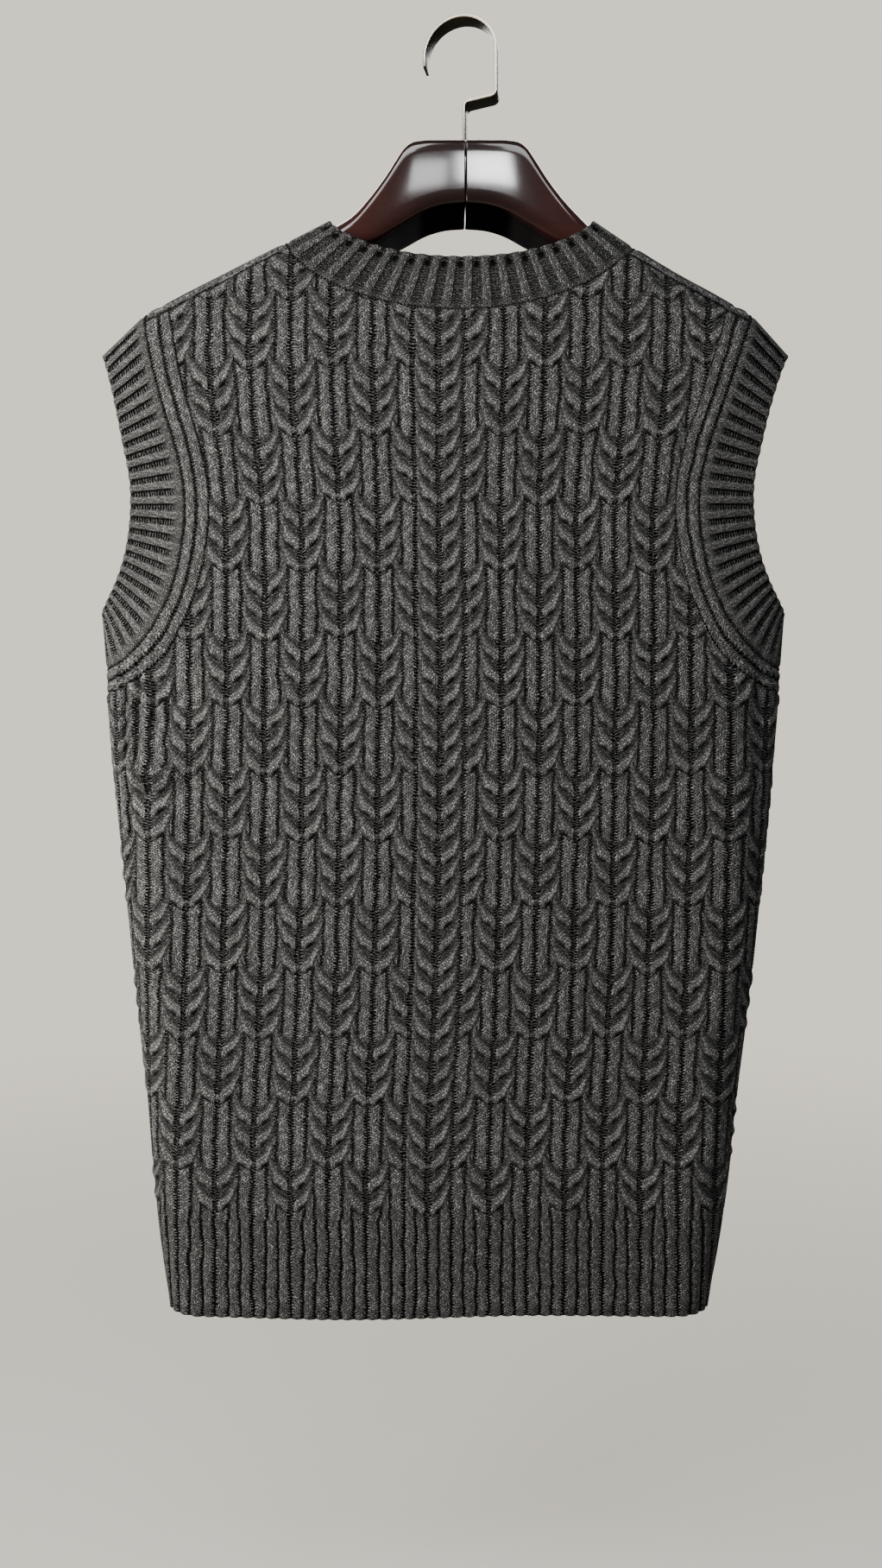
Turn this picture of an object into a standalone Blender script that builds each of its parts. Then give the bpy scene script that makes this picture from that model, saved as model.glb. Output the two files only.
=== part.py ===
"""Cable-knit sweater vest hanging on a broad lacquered hanger with a flat strip hook.

The back of the vest faces -Y, +X runs to the right as seen from there, and +Z is up.
The origin is the underside of the hook's crown, where a rail or a peg carries it all.
All sizes are in metres.

The cloth is one sleeve-less shell that both panels share.  A place on it is (s, v):
s runs across from the centre line, round the side turns, and v runs down the back
from the shoulder ridge (negative v runs down the front).
"""
import math

import bmesh
import bpy
import numpy as np
from mathutils import Vector
from mathutils.geometry import delaunay_2d_cdt

COLLECTION = "sweater_vest_on_hanger"

# --- knit cloth ---------------------------------------------------------------
WALL = 0.0024             # plain knit, without what is raised on it
SEAM_GAP = 0.0003         # between neighbouring pieces
HEM_Z = -0.8265
HEM_RIB_ROWS_Z = (-0.7645, -0.7960)
HEM_WAVE = 0.0016         # rise and fall of the lower edge
HEM_WAVE_REACH = (0.0470, 0.1100)
UNDERARM_Z = -0.4200
CROWN = 0.0025            # how much fuller the middle is than the side turns
RIDGE_DROP = 0.0220       # height of the rounding over the hanger's shoulders
RIDGE_REACH = 0.0235      # mean radius of that rounding, for lengths along it
TOP_LENGTH = RIDGE_REACH * math.pi / 2
SEAM_DROP = 0.0120        # the shoulder seam lies this far below the ridge, at the back

# Outer ground of the body, by height
BODY_COLUMNS = ("z", "half_width", "half_depth", "side_turn")
BODY_ROWS = (
    (-0.8265, 0.1722, 0.0225, 0.0240),
    (-0.7680, 0.1812, 0.0235, 0.0260),
    (-0.6840, 0.1898, 0.0240, 0.0280),
    (-0.6120, 0.1982, 0.0245, 0.0290),
    (-0.5450, 0.2052, 0.0245, 0.0320),
    (-0.4890, 0.2108, 0.0250, 0.0380),
    (-0.4200, 0.2160, 0.0255, 0.0420),
    (-0.3300, 0.2165, 0.0250, 0.0380),
    (-0.1200, 0.2165, 0.0245, 0.0360),
)
# The vest hangs a little to the left of its hook, and its pattern leans with it
LEAN_COLUMNS = ("z", "centre_x")
LEAN_ROWS = (
    (-0.8265, -0.0144), (-0.7000, -0.0122), (-0.4200, -0.0115), (-0.2170, -0.0100),
    (-0.1900, -0.0080), (-0.1660, -0.0062), (-0.1480, -0.0030), (-0.1300, -0.0010),
)
PATTERN_TOP = (-0.1300, -0.0130)      # z and x of the pattern's middle gutter
PATTERN_FOOT = (-0.8265, -0.0195)
# Top line of the shoulders, by distance from the centre line
RIDGE_COLUMNS = ("s", "z")
RIDGE_ROWS = (
    (0.0000, -0.1250), (0.0600, -0.1290), (0.0820, -0.1345), (0.1110, -0.1495),
    (0.1430, -0.1670), (0.1730, -0.1828), (0.1975, -0.1972), (0.2200, -0.2160),
)
# Soft folds of the hanging cloth: the storage crease and the sides drawn in below the arms
FOLD_COLUMNS = ("face", "s", "z", "s_reach", "z_reach", "lift")
FOLD_ROWS = (
    (-1, 0.0000, -0.4935, 0.2600, 0.0050, -0.0012),
    (-1, -0.1780, -0.4480, 0.0220, 0.0400, -0.0030),
    (-1, -0.1900, -0.4960, 0.0260, 0.0180, 0.0022),
    (-1, 0.1850, -0.4600, 0.0240, 0.0420, -0.0024),
    (-1, -0.1100, -0.6300, 0.0400, 0.1100, -0.0016),
    (-1, 0.1200, -0.6500, 0.0400, 0.1200, -0.0018),
    (1, 0.0000, -0.4935, 0.2600, 0.0050, -0.0010),
    (1, -0.1650, -0.4500, 0.0240, 0.0500, -0.0028),
    (1, 0.1700, -0.4600, 0.0240, 0.0460, -0.0026),
    (1, 0.0300, -0.6600, 0.0450, 0.1200, -0.0018),
)

# --- knit pattern -------------------------------------------------------------
CELL = 0.0229             # gutter to gutter, three ribs wide
INNER_CELL = 0.0167       # the two cells beside the middle gutter, two ribs wide
GUTTERS = 11              # on each side of the middle one
FAN = 0.0800              # how strongly the columns spread towards the shoulders
FAN_REACH = 0.1600         # distance from the middle at which the spread is measured
FAN_START_Z = -0.3000
FAN_FULL_Z = -0.1600
CABLE_PITCH = 0.01391     # from one crossing of a cable to the next, going down
CABLE_TOP_Z = -0.2020
CABLE_STRETCH = 0.0045    # the upper half hangs this much longer by its own weight
CABLE_ROWS = 41           # crossings from CABLE_TOP_Z to the hem rib
ROWS_OVER = 9             # crossings above CABLE_TOP_Z, up to and over the ridge
GROUP = 3                 # crossings before a cable moves to the next gutter
STRAND_LIFT = 0.0027      # top of the upper strand of a cable
KNOT_LIFT = 0.0017        # where two strands meet over a gutter
RIB_LIFT = 0.0011         # straight ribs
HEM_RIB_LIFT = 0.0014
EDGE_CLEAR = 0.0042       # pattern points keep this far from a panel's edge
RIDGE_SPACE = 0.0050      # points added along the ridge keep this far from the pattern's
RIDGE_SPAN = 0.1900       # how far out points are laid along the ridge

# --- spacing of plain points --------------------------------------------------
SIDE_STEPS = 30           # up each side seam
SHOULDER_STEPS = 8        # along each shoulder seam
ROUTE_SAMPLES = 600       # along half a ring before it is spaced evenly
PLAIN_STEP_Z = 0.0330
PLAIN_START_Z = -0.8105
PLAIN_S = (0.0, 0.0600, 0.1150)
PLAIN_TURN = (0.0, 0.35, 0.70)          # shares of a side turn
PLAIN_RIDGE_STEP = 0.0120
PLAIN_RIDGE = (0.0, -0.30, -0.62, -1.0)  # shares of the ridge's front rounding
PLAIN_CLEAR = 0.0050
HEM_CLEAR = 0.0020

# --- openings -----------------------------------------------------------------
NECK_RIBS_BACK = 23
NECK_RIBS_FRONT = 28
NECK_SHIFT = 0.0030
NECK_SEAM_HALF = 0.1110
NECK_SEAM_BACK = 0.0435   # how far the seam dips below its ends
NECK_SEAM_FRONT = 0.0770
NECK_EDGE_HALF = 0.0845
NECK_EDGE_Z = -0.1332
NECK_EDGE_BACK = 0.0305
NECK_EDGE_FRONT = 0.0665
NECK_EDGE_DEPTH = 0.0240
ARM_RIBS_BACK = 25        # from the underarm to the shoulder seam
ARM_RIBS_FRONT = 29
BAND_RIB_LIFT = 0.0011

# Near half of an armhole seam, from the underarm to the ridge
ARM_SEAM_COLUMNS = ("s", "z")
ARM_SEAM_ROWS = (
    (0.2160, -0.4200), (0.2060, -0.4165), (0.1920, -0.4060), (0.1800, -0.3915),
    (0.1700, -0.3710), (0.1635, -0.3460), (0.1610, -0.3240), (0.1620, -0.3050),
    (0.1660, -0.2860), (0.1755, -0.2560), (0.1865, -0.2180), (0.1925, -0.1945),
)
# Outer edge of the same half's ribbed band
ARM_EDGE_COLUMNS = ("x", "depth", "z")
ARM_EDGE_ROWS = (
    (0.2190, 0.0000, -0.3865), (0.2175, 0.0070, -0.3835), (0.2130, 0.0118, -0.3765),
    (0.2075, 0.0148, -0.3670), (0.2018, 0.0165, -0.3530), (0.1968, 0.0178, -0.3290),
    (0.1962, 0.0180, -0.3050), (0.2015, 0.0180, -0.2760), (0.2080, 0.0172, -0.2480),
    (0.2140, 0.0140, -0.2290), (0.2185, 0.0075, -0.2195), (0.2200, 0.0000, -0.2175),
)

# --- hanger -------------------------------------------------------------------
HANGER_CENTRE_X = 0.0026
HANGER_TOP_Z = -0.0860
CLOTH_CLEARANCE = 0.0010
NECK_CLEARANCE = 0.0034
# Sections outwards from the middle; a top of None follows the cloth above it
HANGER_COLUMNS = ("out", "top", "bottom", "half_depth", "roundness")
HANGER_ROWS = (
    (0.0002, -0.0860, -0.1270, 0.0200, 5.0),
    (0.0150, -0.0860, -0.1285, 0.0200, 5.0),
    (0.0280, -0.0862, -0.1330, 0.0200, 4.6),
    (0.0345, -0.0872, -0.1368, 0.0200, 4.2),
    (0.0390, -0.0905, -0.1395, 0.0199, 3.8),
    (0.0440, -0.0975, -0.1425, 0.0198, 3.4),
    (0.0520, -0.1095, -0.1475, 0.0197, 3.0),
    (0.0610, -0.1208, -0.1530, 0.0196, 2.7),
    (0.0720, -0.1315, -0.1600, 0.0190, 2.4),
    (0.0840, -0.1385, -0.1680, 0.0180, 2.1),
    (0.1000, None, -0.1790, 0.0176, 2.0),
    (0.1200, None, -0.1920, 0.0176, 2.0),
    (0.1450, None, -0.2055, 0.0172, 2.0),
    (0.1650, None, -0.2130, 0.0166, 2.0),
    (0.1810, None, -0.2150, 0.0150, 2.0),
    (0.1860, None, -0.2110, 0.0090, 2.0),
)
HANGER_SIDES = 14
HANGER_ROUND_X = 0.1740   # beyond here the shoulder's end rounds down
HANGER_ROUND_FALL = 0.2500
ARM_START_X = 0.0800      # sections beyond here are set out from the hook's line
COLLAR_END_X = 0.1250     # the neck band lies over the arm up to here

# --- hook ---------------------------------------------------------------------
STRIP = 0.0018            # thickness of the metal strip
STRIP_WIDTH = 0.0110
CROWN_RADIUS = 0.0235     # to the middle of the strip
STEM_X = 0.0026
STEP_Z = -0.0545          # where the stem turns towards the riser
STEP_RISE = 0.0015        # how much the step climbs on its way
BEND = 0.0035
BEND_STEPS = 5
CROWN_STEPS = 24
TIP_DROP = 0.0060         # straight end of the hook below the crown's middle

KNIT_COLOUR = (0.105, 0.108, 0.108, 1.0)
LACQUER_COLOUR = (0.045, 0.012, 0.008, 1.0)
METAL_COLOUR = (0.66, 0.61, 0.50, 1.0)


# --- tables and curves ----------------------------------------------------------
def smooth(rows, at, key=0):
    """Read every column of a table at one or many keys, on a smooth curve."""
    table = np.asarray(rows, float)
    keys = table[:, key]
    slopes = np.gradient(table, keys, axis=0)
    at = np.clip(np.asarray(at, float), keys[0], keys[-1])
    row = np.clip(np.searchsorted(keys, at) - 1, 0, len(keys) - 2)
    span = (keys[row + 1] - keys[row])[..., None]
    t = (at[..., None] - keys[row][..., None]) / span
    start = (1 + 2 * t) * (1 - t) ** 2 * table[row] + t * (1 - t) ** 2 * span * slopes[row]
    end = t * t * (3 - 2 * t) * table[row + 1] + t * t * (t - 1) * span * slopes[row + 1]
    return np.moveaxis(start + end, -1, 0)


def smooth_step(value, low, high):
    """0 below low, 1 above high, and an even S between."""
    t = np.clip((value - low) / (high - low), 0, 1)
    return t * t * (3 - 2 * t)


def along(rows, samples):
    """A smooth route through a table's rows, evenly by length."""
    table = np.asarray(rows, float)
    steps = np.linalg.norm(np.diff(table, axis=0), axis=1)
    keyed = np.column_stack([np.concatenate([[0], np.cumsum(steps)]), table])
    return smooth(keyed, np.linspace(0, keyed[-1, 0], samples))[1:].T


def even_steps(points, data, count):
    """Data read at count + 1 places that are evenly spaced along points."""
    length = np.concatenate([[0], np.cumsum(np.linalg.norm(np.diff(points, axis=0), axis=1))])
    at = np.linspace(0, length[-1], count + 1)
    return np.column_stack([np.interp(at, length, column) for column in data.T])


# --- the cloth's form -------------------------------------------------------------
def ridge_z(s):
    return smooth(RIDGE_ROWS, np.abs(s))[1]


def centre_x(z):
    return smooth(LEAN_ROWS, z)[1]


def side_reach(z):
    """s of the side seam at a height."""
    _, half_width, half_depth, side_turn = smooth(BODY_ROWS, z)
    return half_width - side_turn + (side_turn + half_depth) / 2 * math.pi / 2


def ridge_to_z(s):
    """Length down the cloth that stands for a height of zero."""
    return ridge_z(s) - RIDGE_DROP + TOP_LENGTH


def v_of(s, z, face=-1):
    """v of a height on the back (face -1) or the front (face 1)."""
    drop = np.clip(ridge_z(s) - z, 0, None)
    turn = np.arccos(np.clip(1 - drop / RIDGE_DROP, 0, 1))
    beyond = np.clip(drop - RIDGE_DROP, 0, None)
    return -face * (RIDGE_REACH * turn + beyond)


def fold_lift(s, z, face):
    lift = np.zeros_like(z)
    for fold_face, fold_s, fold_z, s_reach, z_reach, height in FOLD_ROWS:
        shape = np.exp(-((s - fold_s) / s_reach) ** 2 - ((z - fold_z) / z_reach) ** 2)
        lift += np.where(face == fold_face, height * shape, 0)
    return lift


def ground(s, v):
    """Points of the cloth's outer ground."""
    out = np.abs(s)
    face = np.where(v > 0, -1, 1)
    turn = np.clip(np.abs(v) / RIDGE_REACH, 0, math.pi / 2)
    rounded = ridge_z(out) - RIDGE_DROP * (1 - np.cos(turn))
    z = np.where(turn < math.pi / 2, rounded, ridge_to_z(out) - np.abs(v))
    _, half_width, half_depth, side_turn = smooth(BODY_ROWS, z)
    flat = half_width - side_turn
    angle = np.clip((out - flat) / ((side_turn + half_depth) / 2), 0, 0.6 * math.pi)
    x = np.where(out < flat, out, flat + side_turn * np.sin(angle))
    fullness = CROWN * (1 - np.clip(x / half_width, 0, 1) ** 2)
    depth = (half_depth + fullness + fold_lift(s, z, face)) * np.cos(angle) * np.sin(turn)
    return np.column_stack([centre_x(z) + np.sign(s) * x, face * depth, z])


def cloth(s, v, lift=0.0):
    """Points on the cloth, moved out from its ground by lift."""
    s, v = np.atleast_1d(np.asarray(s, float)), np.atleast_1d(np.asarray(v, float))
    step = 0.0010
    across = ground(s + step, v) - ground(s - step, v)
    down = ground(s, v + step) - ground(s, v - step)
    normal = np.cross(down, across)
    normal /= np.linalg.norm(normal, axis=1)[:, None]
    return ground(s, v) + normal * np.broadcast_to(lift, s.shape)[:, None]


# --- seams --------------------------------------------------------------------------
def seam_v():
    return RIDGE_REACH * math.acos(1 - SEAM_DROP / RIDGE_DROP)


def phased(route, turns):
    """(s, v) places with a third column that counts 0 to 1 along each half of a ring."""
    points = ground(route[:, 0], route[:, 1])
    phase = np.zeros(len(route))
    for half, (first, last) in enumerate(zip(turns[:-1], turns[1:])):
        steps = np.linalg.norm(np.diff(points[first:last + 1], axis=0), axis=1)
        length = np.concatenate([[0], np.cumsum(steps)])
        phase[first:last + 1] = half + length / length[-1]
    return points, np.column_stack([route, phase])


def arm_seam(side):
    """Even (s, v, phase) places round an armhole: up the back, over, and down the front."""
    samples = ROUTE_SAMPLES
    s, z = along(ARM_SEAM_ROWS, samples).T
    z[-1] = ridge_z(s[-1])
    _, half_width, half_depth, side_turn = smooth(BODY_ROWS, z)
    flat = half_width - side_turn
    angle = np.arcsin(np.clip((s - flat) / side_turn, 0, 1))
    s = np.where(s < flat, s, flat + (side_turn + half_depth) / 2 * angle)
    down = v_of(s, z)
    back = np.column_stack([s, down])
    front = np.column_stack([s, -down])[::-1]
    points, route = phased(np.vstack([back, front[1:]]), (0, samples - 1, 2 * samples - 2))
    seam = int(np.argmax(route[:, 1] < seam_v()))
    near = even_steps(points[:seam + 1], route[:seam + 1], 2 * ARM_RIBS_BACK)
    far = even_steps(points[seam:], route[seam:], 2 * ARM_RIBS_FRONT)
    ring = np.vstack([near, far[1:]])
    ring[:, 0] *= side
    return ring


def neck_seam():
    """Even (s, v, phase) places of the neck ring: across the back, then across the front."""
    samples = ROUTE_SAMPLES
    angle = np.linspace(math.pi, 0, samples)
    s = NECK_SHIFT + NECK_SEAM_HALF * np.cos(angle)
    ends = (ridge_z(s[0]), ridge_z(s[-1]))
    rest = ends[0] + (ends[1] - ends[0]) * (1 + np.cos(angle)) / 2
    back = np.column_stack([s, v_of(s, rest - NECK_SEAM_BACK * np.sin(angle))])
    front = np.column_stack([s, v_of(s, rest - NECK_SEAM_FRONT * np.sin(angle), 1)])[::-1]
    points, route = phased(np.vstack([back, front[1:]]), (0, samples - 1, 2 * samples - 2))
    behind = np.flatnonzero(route[:, 1] > seam_v())
    first, last = behind[0], behind[-1]
    near = even_steps(points[first:last + 1], route[first:last + 1], 2 * NECK_RIBS_BACK)
    turned = route[1:first + 1] + (0.0, 0.0, 2.0)
    over = np.vstack([route[last:], turned])
    over_points = np.vstack([points[last:], points[1:first + 1]])
    far = even_steps(over_points, over, 2 * NECK_RIBS_FRONT)
    return near, far


# --- knit pattern points ----------------------------------------------------------
def gutter_s(number, z):
    """s of a gutter or, for a number ending in a half, of a cell's middle."""
    size = abs(number)
    plain = size * INNER_CELL if size <= 1 else INNER_CELL + (size - 1) * CELL
    plain = math.copysign(plain, number)
    middle = np.interp(z, (PATTERN_FOOT[0], PATTERN_TOP[0]), (PATTERN_FOOT[1], PATTERN_TOP[1]))
    spread = FAN * smooth_step(z, FAN_START_Z, FAN_FULL_Z) * (plain / FAN_REACH) ** 2
    return float(middle - centre_x(z) + plain * (1 + spread))


def cable_z(row):
    """Height of a crossing; a row may lie between two of them."""
    share = min(max(row / (CABLE_ROWS - 1), 0), 1)
    return CABLE_TOP_Z - row * CABLE_PITCH - CABLE_STRETCH * 4 * share * (1 - share)


def crosses(gutter, row):
    """Whether a gutter carries a cable at a crossing row."""
    size = abs(gutter)
    odd_group = (row // GROUP) % 2
    return size == 0 or (size % 2 == 0 if odd_group else size % 2 == 1)


def pattern(outline):
    """Raised places inside an outline, and the lines that join them.

    Each place is (s, w, lift), where w is a height that runs on evenly over the ridge.
    """
    places, index, lines = [], {}, []

    def put(key, number, row, lift):
        z = cable_z(row)
        place = (gutter_s(number, z), z)
        if inside(outline, place):
            index[key] = len(places)
            places.append((*place, lift))

    for row in range(-ROWS_OVER, CABLE_ROWS):
        for gutter in range(-GUTTERS, GUTTERS + 1):
            if crosses(gutter, row):
                put(("knot", gutter, row), gutter, row, KNOT_LIFT)
                put(("dip", gutter, row), gutter, row - 0.5, 0.0)
            elif row % GROUP == 1:
                put(("ladder", gutter, row), gutter, row, 0.0)
        for cell in range(-GUTTERS, GUTTERS):
            put(("high", cell, row), cell + 0.5, row - 0.75, STRAND_LIFT)
            put(("low", cell, row), cell + 0.5, row - 0.25, RIB_LIFT)
    for kind, gutter, row in list(index):
        if kind not in ("knot", "dip"):
            continue
        for cell in (gutter - 1, gutter):
            inward = abs(cell + 0.5) < abs(gutter)
            if abs(gutter) == 1 and inward:
                continue
            end = ("high", cell, row) if kind == "knot" else ("low", cell, row - 1)
            if end in index:
                lines.append((index[(kind, gutter, row)], index[end]))
    return places, lines


def hem_columns(z):
    """s and lift of each rib's crest and hollow across the hem."""
    found = []
    for cell in range(-GUTTERS, GUTTERS):
        ribs = 2 if cell in (-1, 0) else 3
        start, end = gutter_s(cell, z), gutter_s(cell + 1, z)
        for step in range(2 * ribs):
            crest = step % 2 == 1
            found.append((start + (end - start) * step / (2 * ribs), HEM_RIB_LIFT * crest))
    return found


def inside(outline, place, clear=EDGE_CLEAR):
    """Whether a place lies within an outline and clear of its edge."""
    start, end = outline, np.roll(outline, -1, axis=0)
    point = np.asarray(place)
    run = end - start
    share = np.clip(((point - start) * run).sum(1) / (run * run).sum(1), 0, 1)
    gap = np.linalg.norm(start + run * share[:, None] - point, axis=1).min()
    if gap < clear:
        return False
    rises = (start[:, 1] > point[1]) != (end[:, 1] > point[1])
    height = np.where(rises, run[:, 1], 1.0)
    cut = start[:, 0] + (point[1] - start[:, 1]) * run[:, 0] / height
    return bool(np.count_nonzero(rises & (point[0] < cut)) % 2)


# --- panels ---------------------------------------------------------------------------
def side_edge(face, side):
    """(s, w) places up a side seam, hem first."""
    z = np.linspace(HEM_Z, UNDERARM_Z, SIDE_STEPS + 1)[1:-1]
    return np.column_stack([side * (side_reach(z) - SEAM_GAP / 2), z])


def hem_z(s):
    short, long = HEM_WAVE_REACH
    return HEM_Z + HEM_WAVE * np.sin(s / short) * np.cos(s / long)


def panel_w(s, v, face):
    """Even height of a place, as one panel's flat plan has it."""
    return ridge_to_z(s) + face * v


def panel_outline(face, neck, arms):
    """Closed plan outline of a panel, and each point's own lift."""
    limit = side_reach(HEM_Z) - SEAM_GAP / 2
    hem = [(s, lift) for s, lift in hem_columns(HEM_Z) if abs(s) < limit - HEM_CLEAR]
    hem = [(-limit, 0.0), *hem, (limit, 0.0)]
    rows = [(s, float(hem_z(s)), lift) for s, lift in hem]
    gap = SEAM_GAP / 2

    def add(places):
        rows.extend((float(s), float(w), 0.0) for s, w in places)

    halves = {}
    for side in (-1, 1):
        ring = arms[side]
        half = ring[:2 * ARM_RIBS_BACK + 1] if face < 0 else ring[2 * ARM_RIBS_BACK:][::-1]
        halves[side] = np.column_stack([half[:, 0], panel_w(half[:, 0], half[:, 1], face)])
        halves[side][0] = (side * (side_reach(UNDERARM_Z) - gap), UNDERARM_Z)
    neck = np.column_stack([neck[:, 0], panel_w(neck[:, 0], neck[:, 1], face)])
    if face > 0:
        neck = neck[::-1]
    down = gap if face < 0 else -gap
    for edge in (halves[-1], halves[1]):
        edge[-1, 1] -= abs(down)
    neck[0, 1] -= abs(down)
    neck[-1, 1] -= abs(down)

    def shoulder(start, end):
        share = np.linspace(0, 1, SHOULDER_STEPS + 1)[1:-1]
        s = start + (end - start) * share
        return np.column_stack([s, panel_w(s, seam_v() + down, face)])

    add(side_edge(face, 1))
    add(halves[1])
    add(shoulder(halves[1][-1, 0], neck[-1, 0]))
    add(neck[::-1])
    add(shoulder(neck[0, 0], halves[-1][-1, 0]))
    add(halves[-1][::-1])
    add(side_edge(face, -1)[::-1])
    return np.asarray(rows)


def triangulate(outline, places, lines):
    """Triangles over an outline and the places inside it."""
    count = len(outline)
    points = [Vector(row[:2]) for row in outline] + [Vector(row[:2]) for row in places]
    edges = [(start + count, end + count) for start, end in lines]
    plan = delaunay_2d_cdt(points, edges, [list(range(count))], 1, 1e-7)
    source = [origin[0] for origin in plan[3]]
    return [[source[corner] for corner in face] for face in plan[2]]


def plain_places(outline, face):
    """Sparse places for the plain inside of a panel, closer where it bends, and its lines."""
    kept, lines = [], []

    def put(row):
        before = None
        for place in row:
            near = any(math.dist(place, other) < PLAIN_CLEAR for other in kept)
            if near or not inside(outline[:, :2], place, PLAIN_CLEAR):
                before = None
                continue
            kept.append(place)
            if before is not None:
                lines.append((before, len(kept) - 1))
            before = len(kept) - 1

    if face > 0:
        across = np.arange(-RIDGE_SPAN, RIDGE_SPAN, PLAIN_RIDGE_STEP)
        for v in (seam_v() / 2, *(share * TOP_LENGTH for share in PLAIN_RIDGE)):
            put([(float(s), float(panel_w(s, v, face))) for s in across])
    for z in np.arange(PLAIN_START_Z, PATTERN_TOP[0], PLAIN_STEP_Z):
        side = float(side_reach(z))
        _, half_width, _, side_turn = smooth(BODY_ROWS, z)
        flat = float(half_width - side_turn)
        reach = PLAIN_S + tuple(flat + (side - flat) * share for share in PLAIN_TURN)
        put([(s, float(z)) for s in sorted({way * value for way in (-1, 1) for value in reach})])
    return kept, lines


def panel(name, face, neck, arms, material):
    """One knitted panel: a plain inside, and an outside raised into cables and ribs."""
    outline = panel_outline(face, neck, arms)
    places, lines = pattern(outline[:, :2])
    hem = [(s, z, lift) for z in HEM_RIB_ROWS_Z for s, lift in hem_columns(z)]
    hem = [row for row in hem if inside(outline[:, :2], row[:2], HEM_CLEAR)]
    if face > 0:
        for v in (0.0, seam_v() / 2):
            for s in np.arange(-RIDGE_SPAN, RIDGE_SPAN, CELL / 2):
                place = (float(s), float(panel_w(s, v, face)))
                crowded = any(math.dist(place, other[:2]) < RIDGE_SPACE for other in places)
                if not crowded and inside(outline[:, :2], place):
                    places.append((*place, RIB_LIFT))
    outer_faces = triangulate(outline, places + hem, lines)
    inner, inner_lines = plain_places(outline, face)
    inner_faces = triangulate(outline, inner, inner_lines)

    outer_rows = np.vstack([outline, np.asarray(places + hem)])
    inner_rows = np.vstack([outline[:, :2], np.asarray(inner)])

    def to_world(rows, lift):
        s, w = rows[:, 0], rows[:, 1]
        v = (w - ridge_to_z(s)) * face
        return cloth(s, v, lift)

    count = len(outline)
    points = np.vstack([to_world(outer_rows, outer_rows[:, 2]), to_world(inner_rows, -WALL)])
    start = len(outer_rows)
    faces = [list(corners) for corners in outer_faces]
    faces += [[corner + start for corner in corners][::-1] for corners in inner_faces]
    for edge in range(count):
        after = (edge + 1) % count
        faces.append([edge, after, after + start, edge + start])
    return closed_mesh(name, points, faces, material)


# --- bands ----------------------------------------------------------------------------
def band(name, seam, edge, material):
    """A ribbed band: a closed strip from a seam's places to its free edge."""
    s, v = seam[:, 0], seam[:, 1]
    foot = cloth(s, v)
    normal = cloth(s, v, 1.0) - foot
    run = np.roll(foot, -1, axis=0) - np.roll(foot, 1, axis=0)
    away = np.cross(normal, run)
    away /= np.linalg.norm(away, axis=1)[:, None]
    away *= np.sign((away * (edge - foot)).sum(1))[:, None]
    foot = foot + away * SEAM_GAP
    edge_run = np.roll(edge, -1, axis=0) - np.roll(edge, 1, axis=0)
    edge_normal = np.cross(edge_run, edge - foot)
    edge_normal /= np.linalg.norm(edge_normal, axis=1)[:, None]
    edge_normal *= np.sign((edge_normal * normal).sum(1))[:, None]
    rib = np.where(np.arange(len(s)) % 2, BAND_RIB_LIFT, 0.0)[:, None]
    rings = (foot - normal * WALL, foot + normal * rib,
             edge + edge_normal * rib, edge - edge_normal * WALL)
    return loft(name, np.stack(rings, axis=1), material, closed=True)


def at_phase(halves, phase):
    """Places on a free edge: each half is a dense route, read by length."""
    found = np.zeros((len(phase), 3))
    for half, points in enumerate(halves):
        steps = np.linalg.norm(np.diff(points, axis=0), axis=1)
        length = np.concatenate([[0], np.cumsum(steps)])
        chosen = (phase % 2 >= half) & (phase % 2 < half + 1)
        at = (phase[chosen] % 1) * length[-1]
        found[chosen] = np.column_stack([np.interp(at, length, axis) for axis in points.T])
    return found


def arm_band(name, side, seam, material):
    rows = along(ARM_EDGE_ROWS, ROUTE_SAMPLES)
    near = rows * (1, -1, 1)
    edge = at_phase((near, rows[::-1]), seam[:-1, 2])
    edge[:, 0] = centre_x(edge[:, 2]) + side * edge[:, 0]
    return band(name, seam[:-1], edge, material)


def neck_band(name, back, front, material):
    def half(drop, face, start, end):
        angle = np.linspace(start, end, ROUTE_SAMPLES)
        fall = drop * np.sin(angle)
        lean = np.arccos(np.clip(1 - fall / RIDGE_DROP, 0, 1))
        return np.column_stack([NECK_EDGE_HALF * np.cos(angle),
                                face * NECK_EDGE_DEPTH * np.sin(lean), NECK_EDGE_Z - fall])

    near = half(NECK_EDGE_BACK, -1, math.pi, 0)
    far = half(NECK_EDGE_FRONT, 1, 0, math.pi)
    seam = np.vstack([back[:-1], front[:-1]])
    return band(name, seam, at_phase((near, far), seam[:, 2]), material)


# --- hanger and hook --------------------------------------------------------------------
def cloth_ridge_z(x):
    """Height of the cloth's ridge over a world x."""
    z = RIDGE_ROWS[4][1]
    for _ in range(6):
        z = float(ridge_z(x - float(centre_x(z))))
    return z


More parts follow.
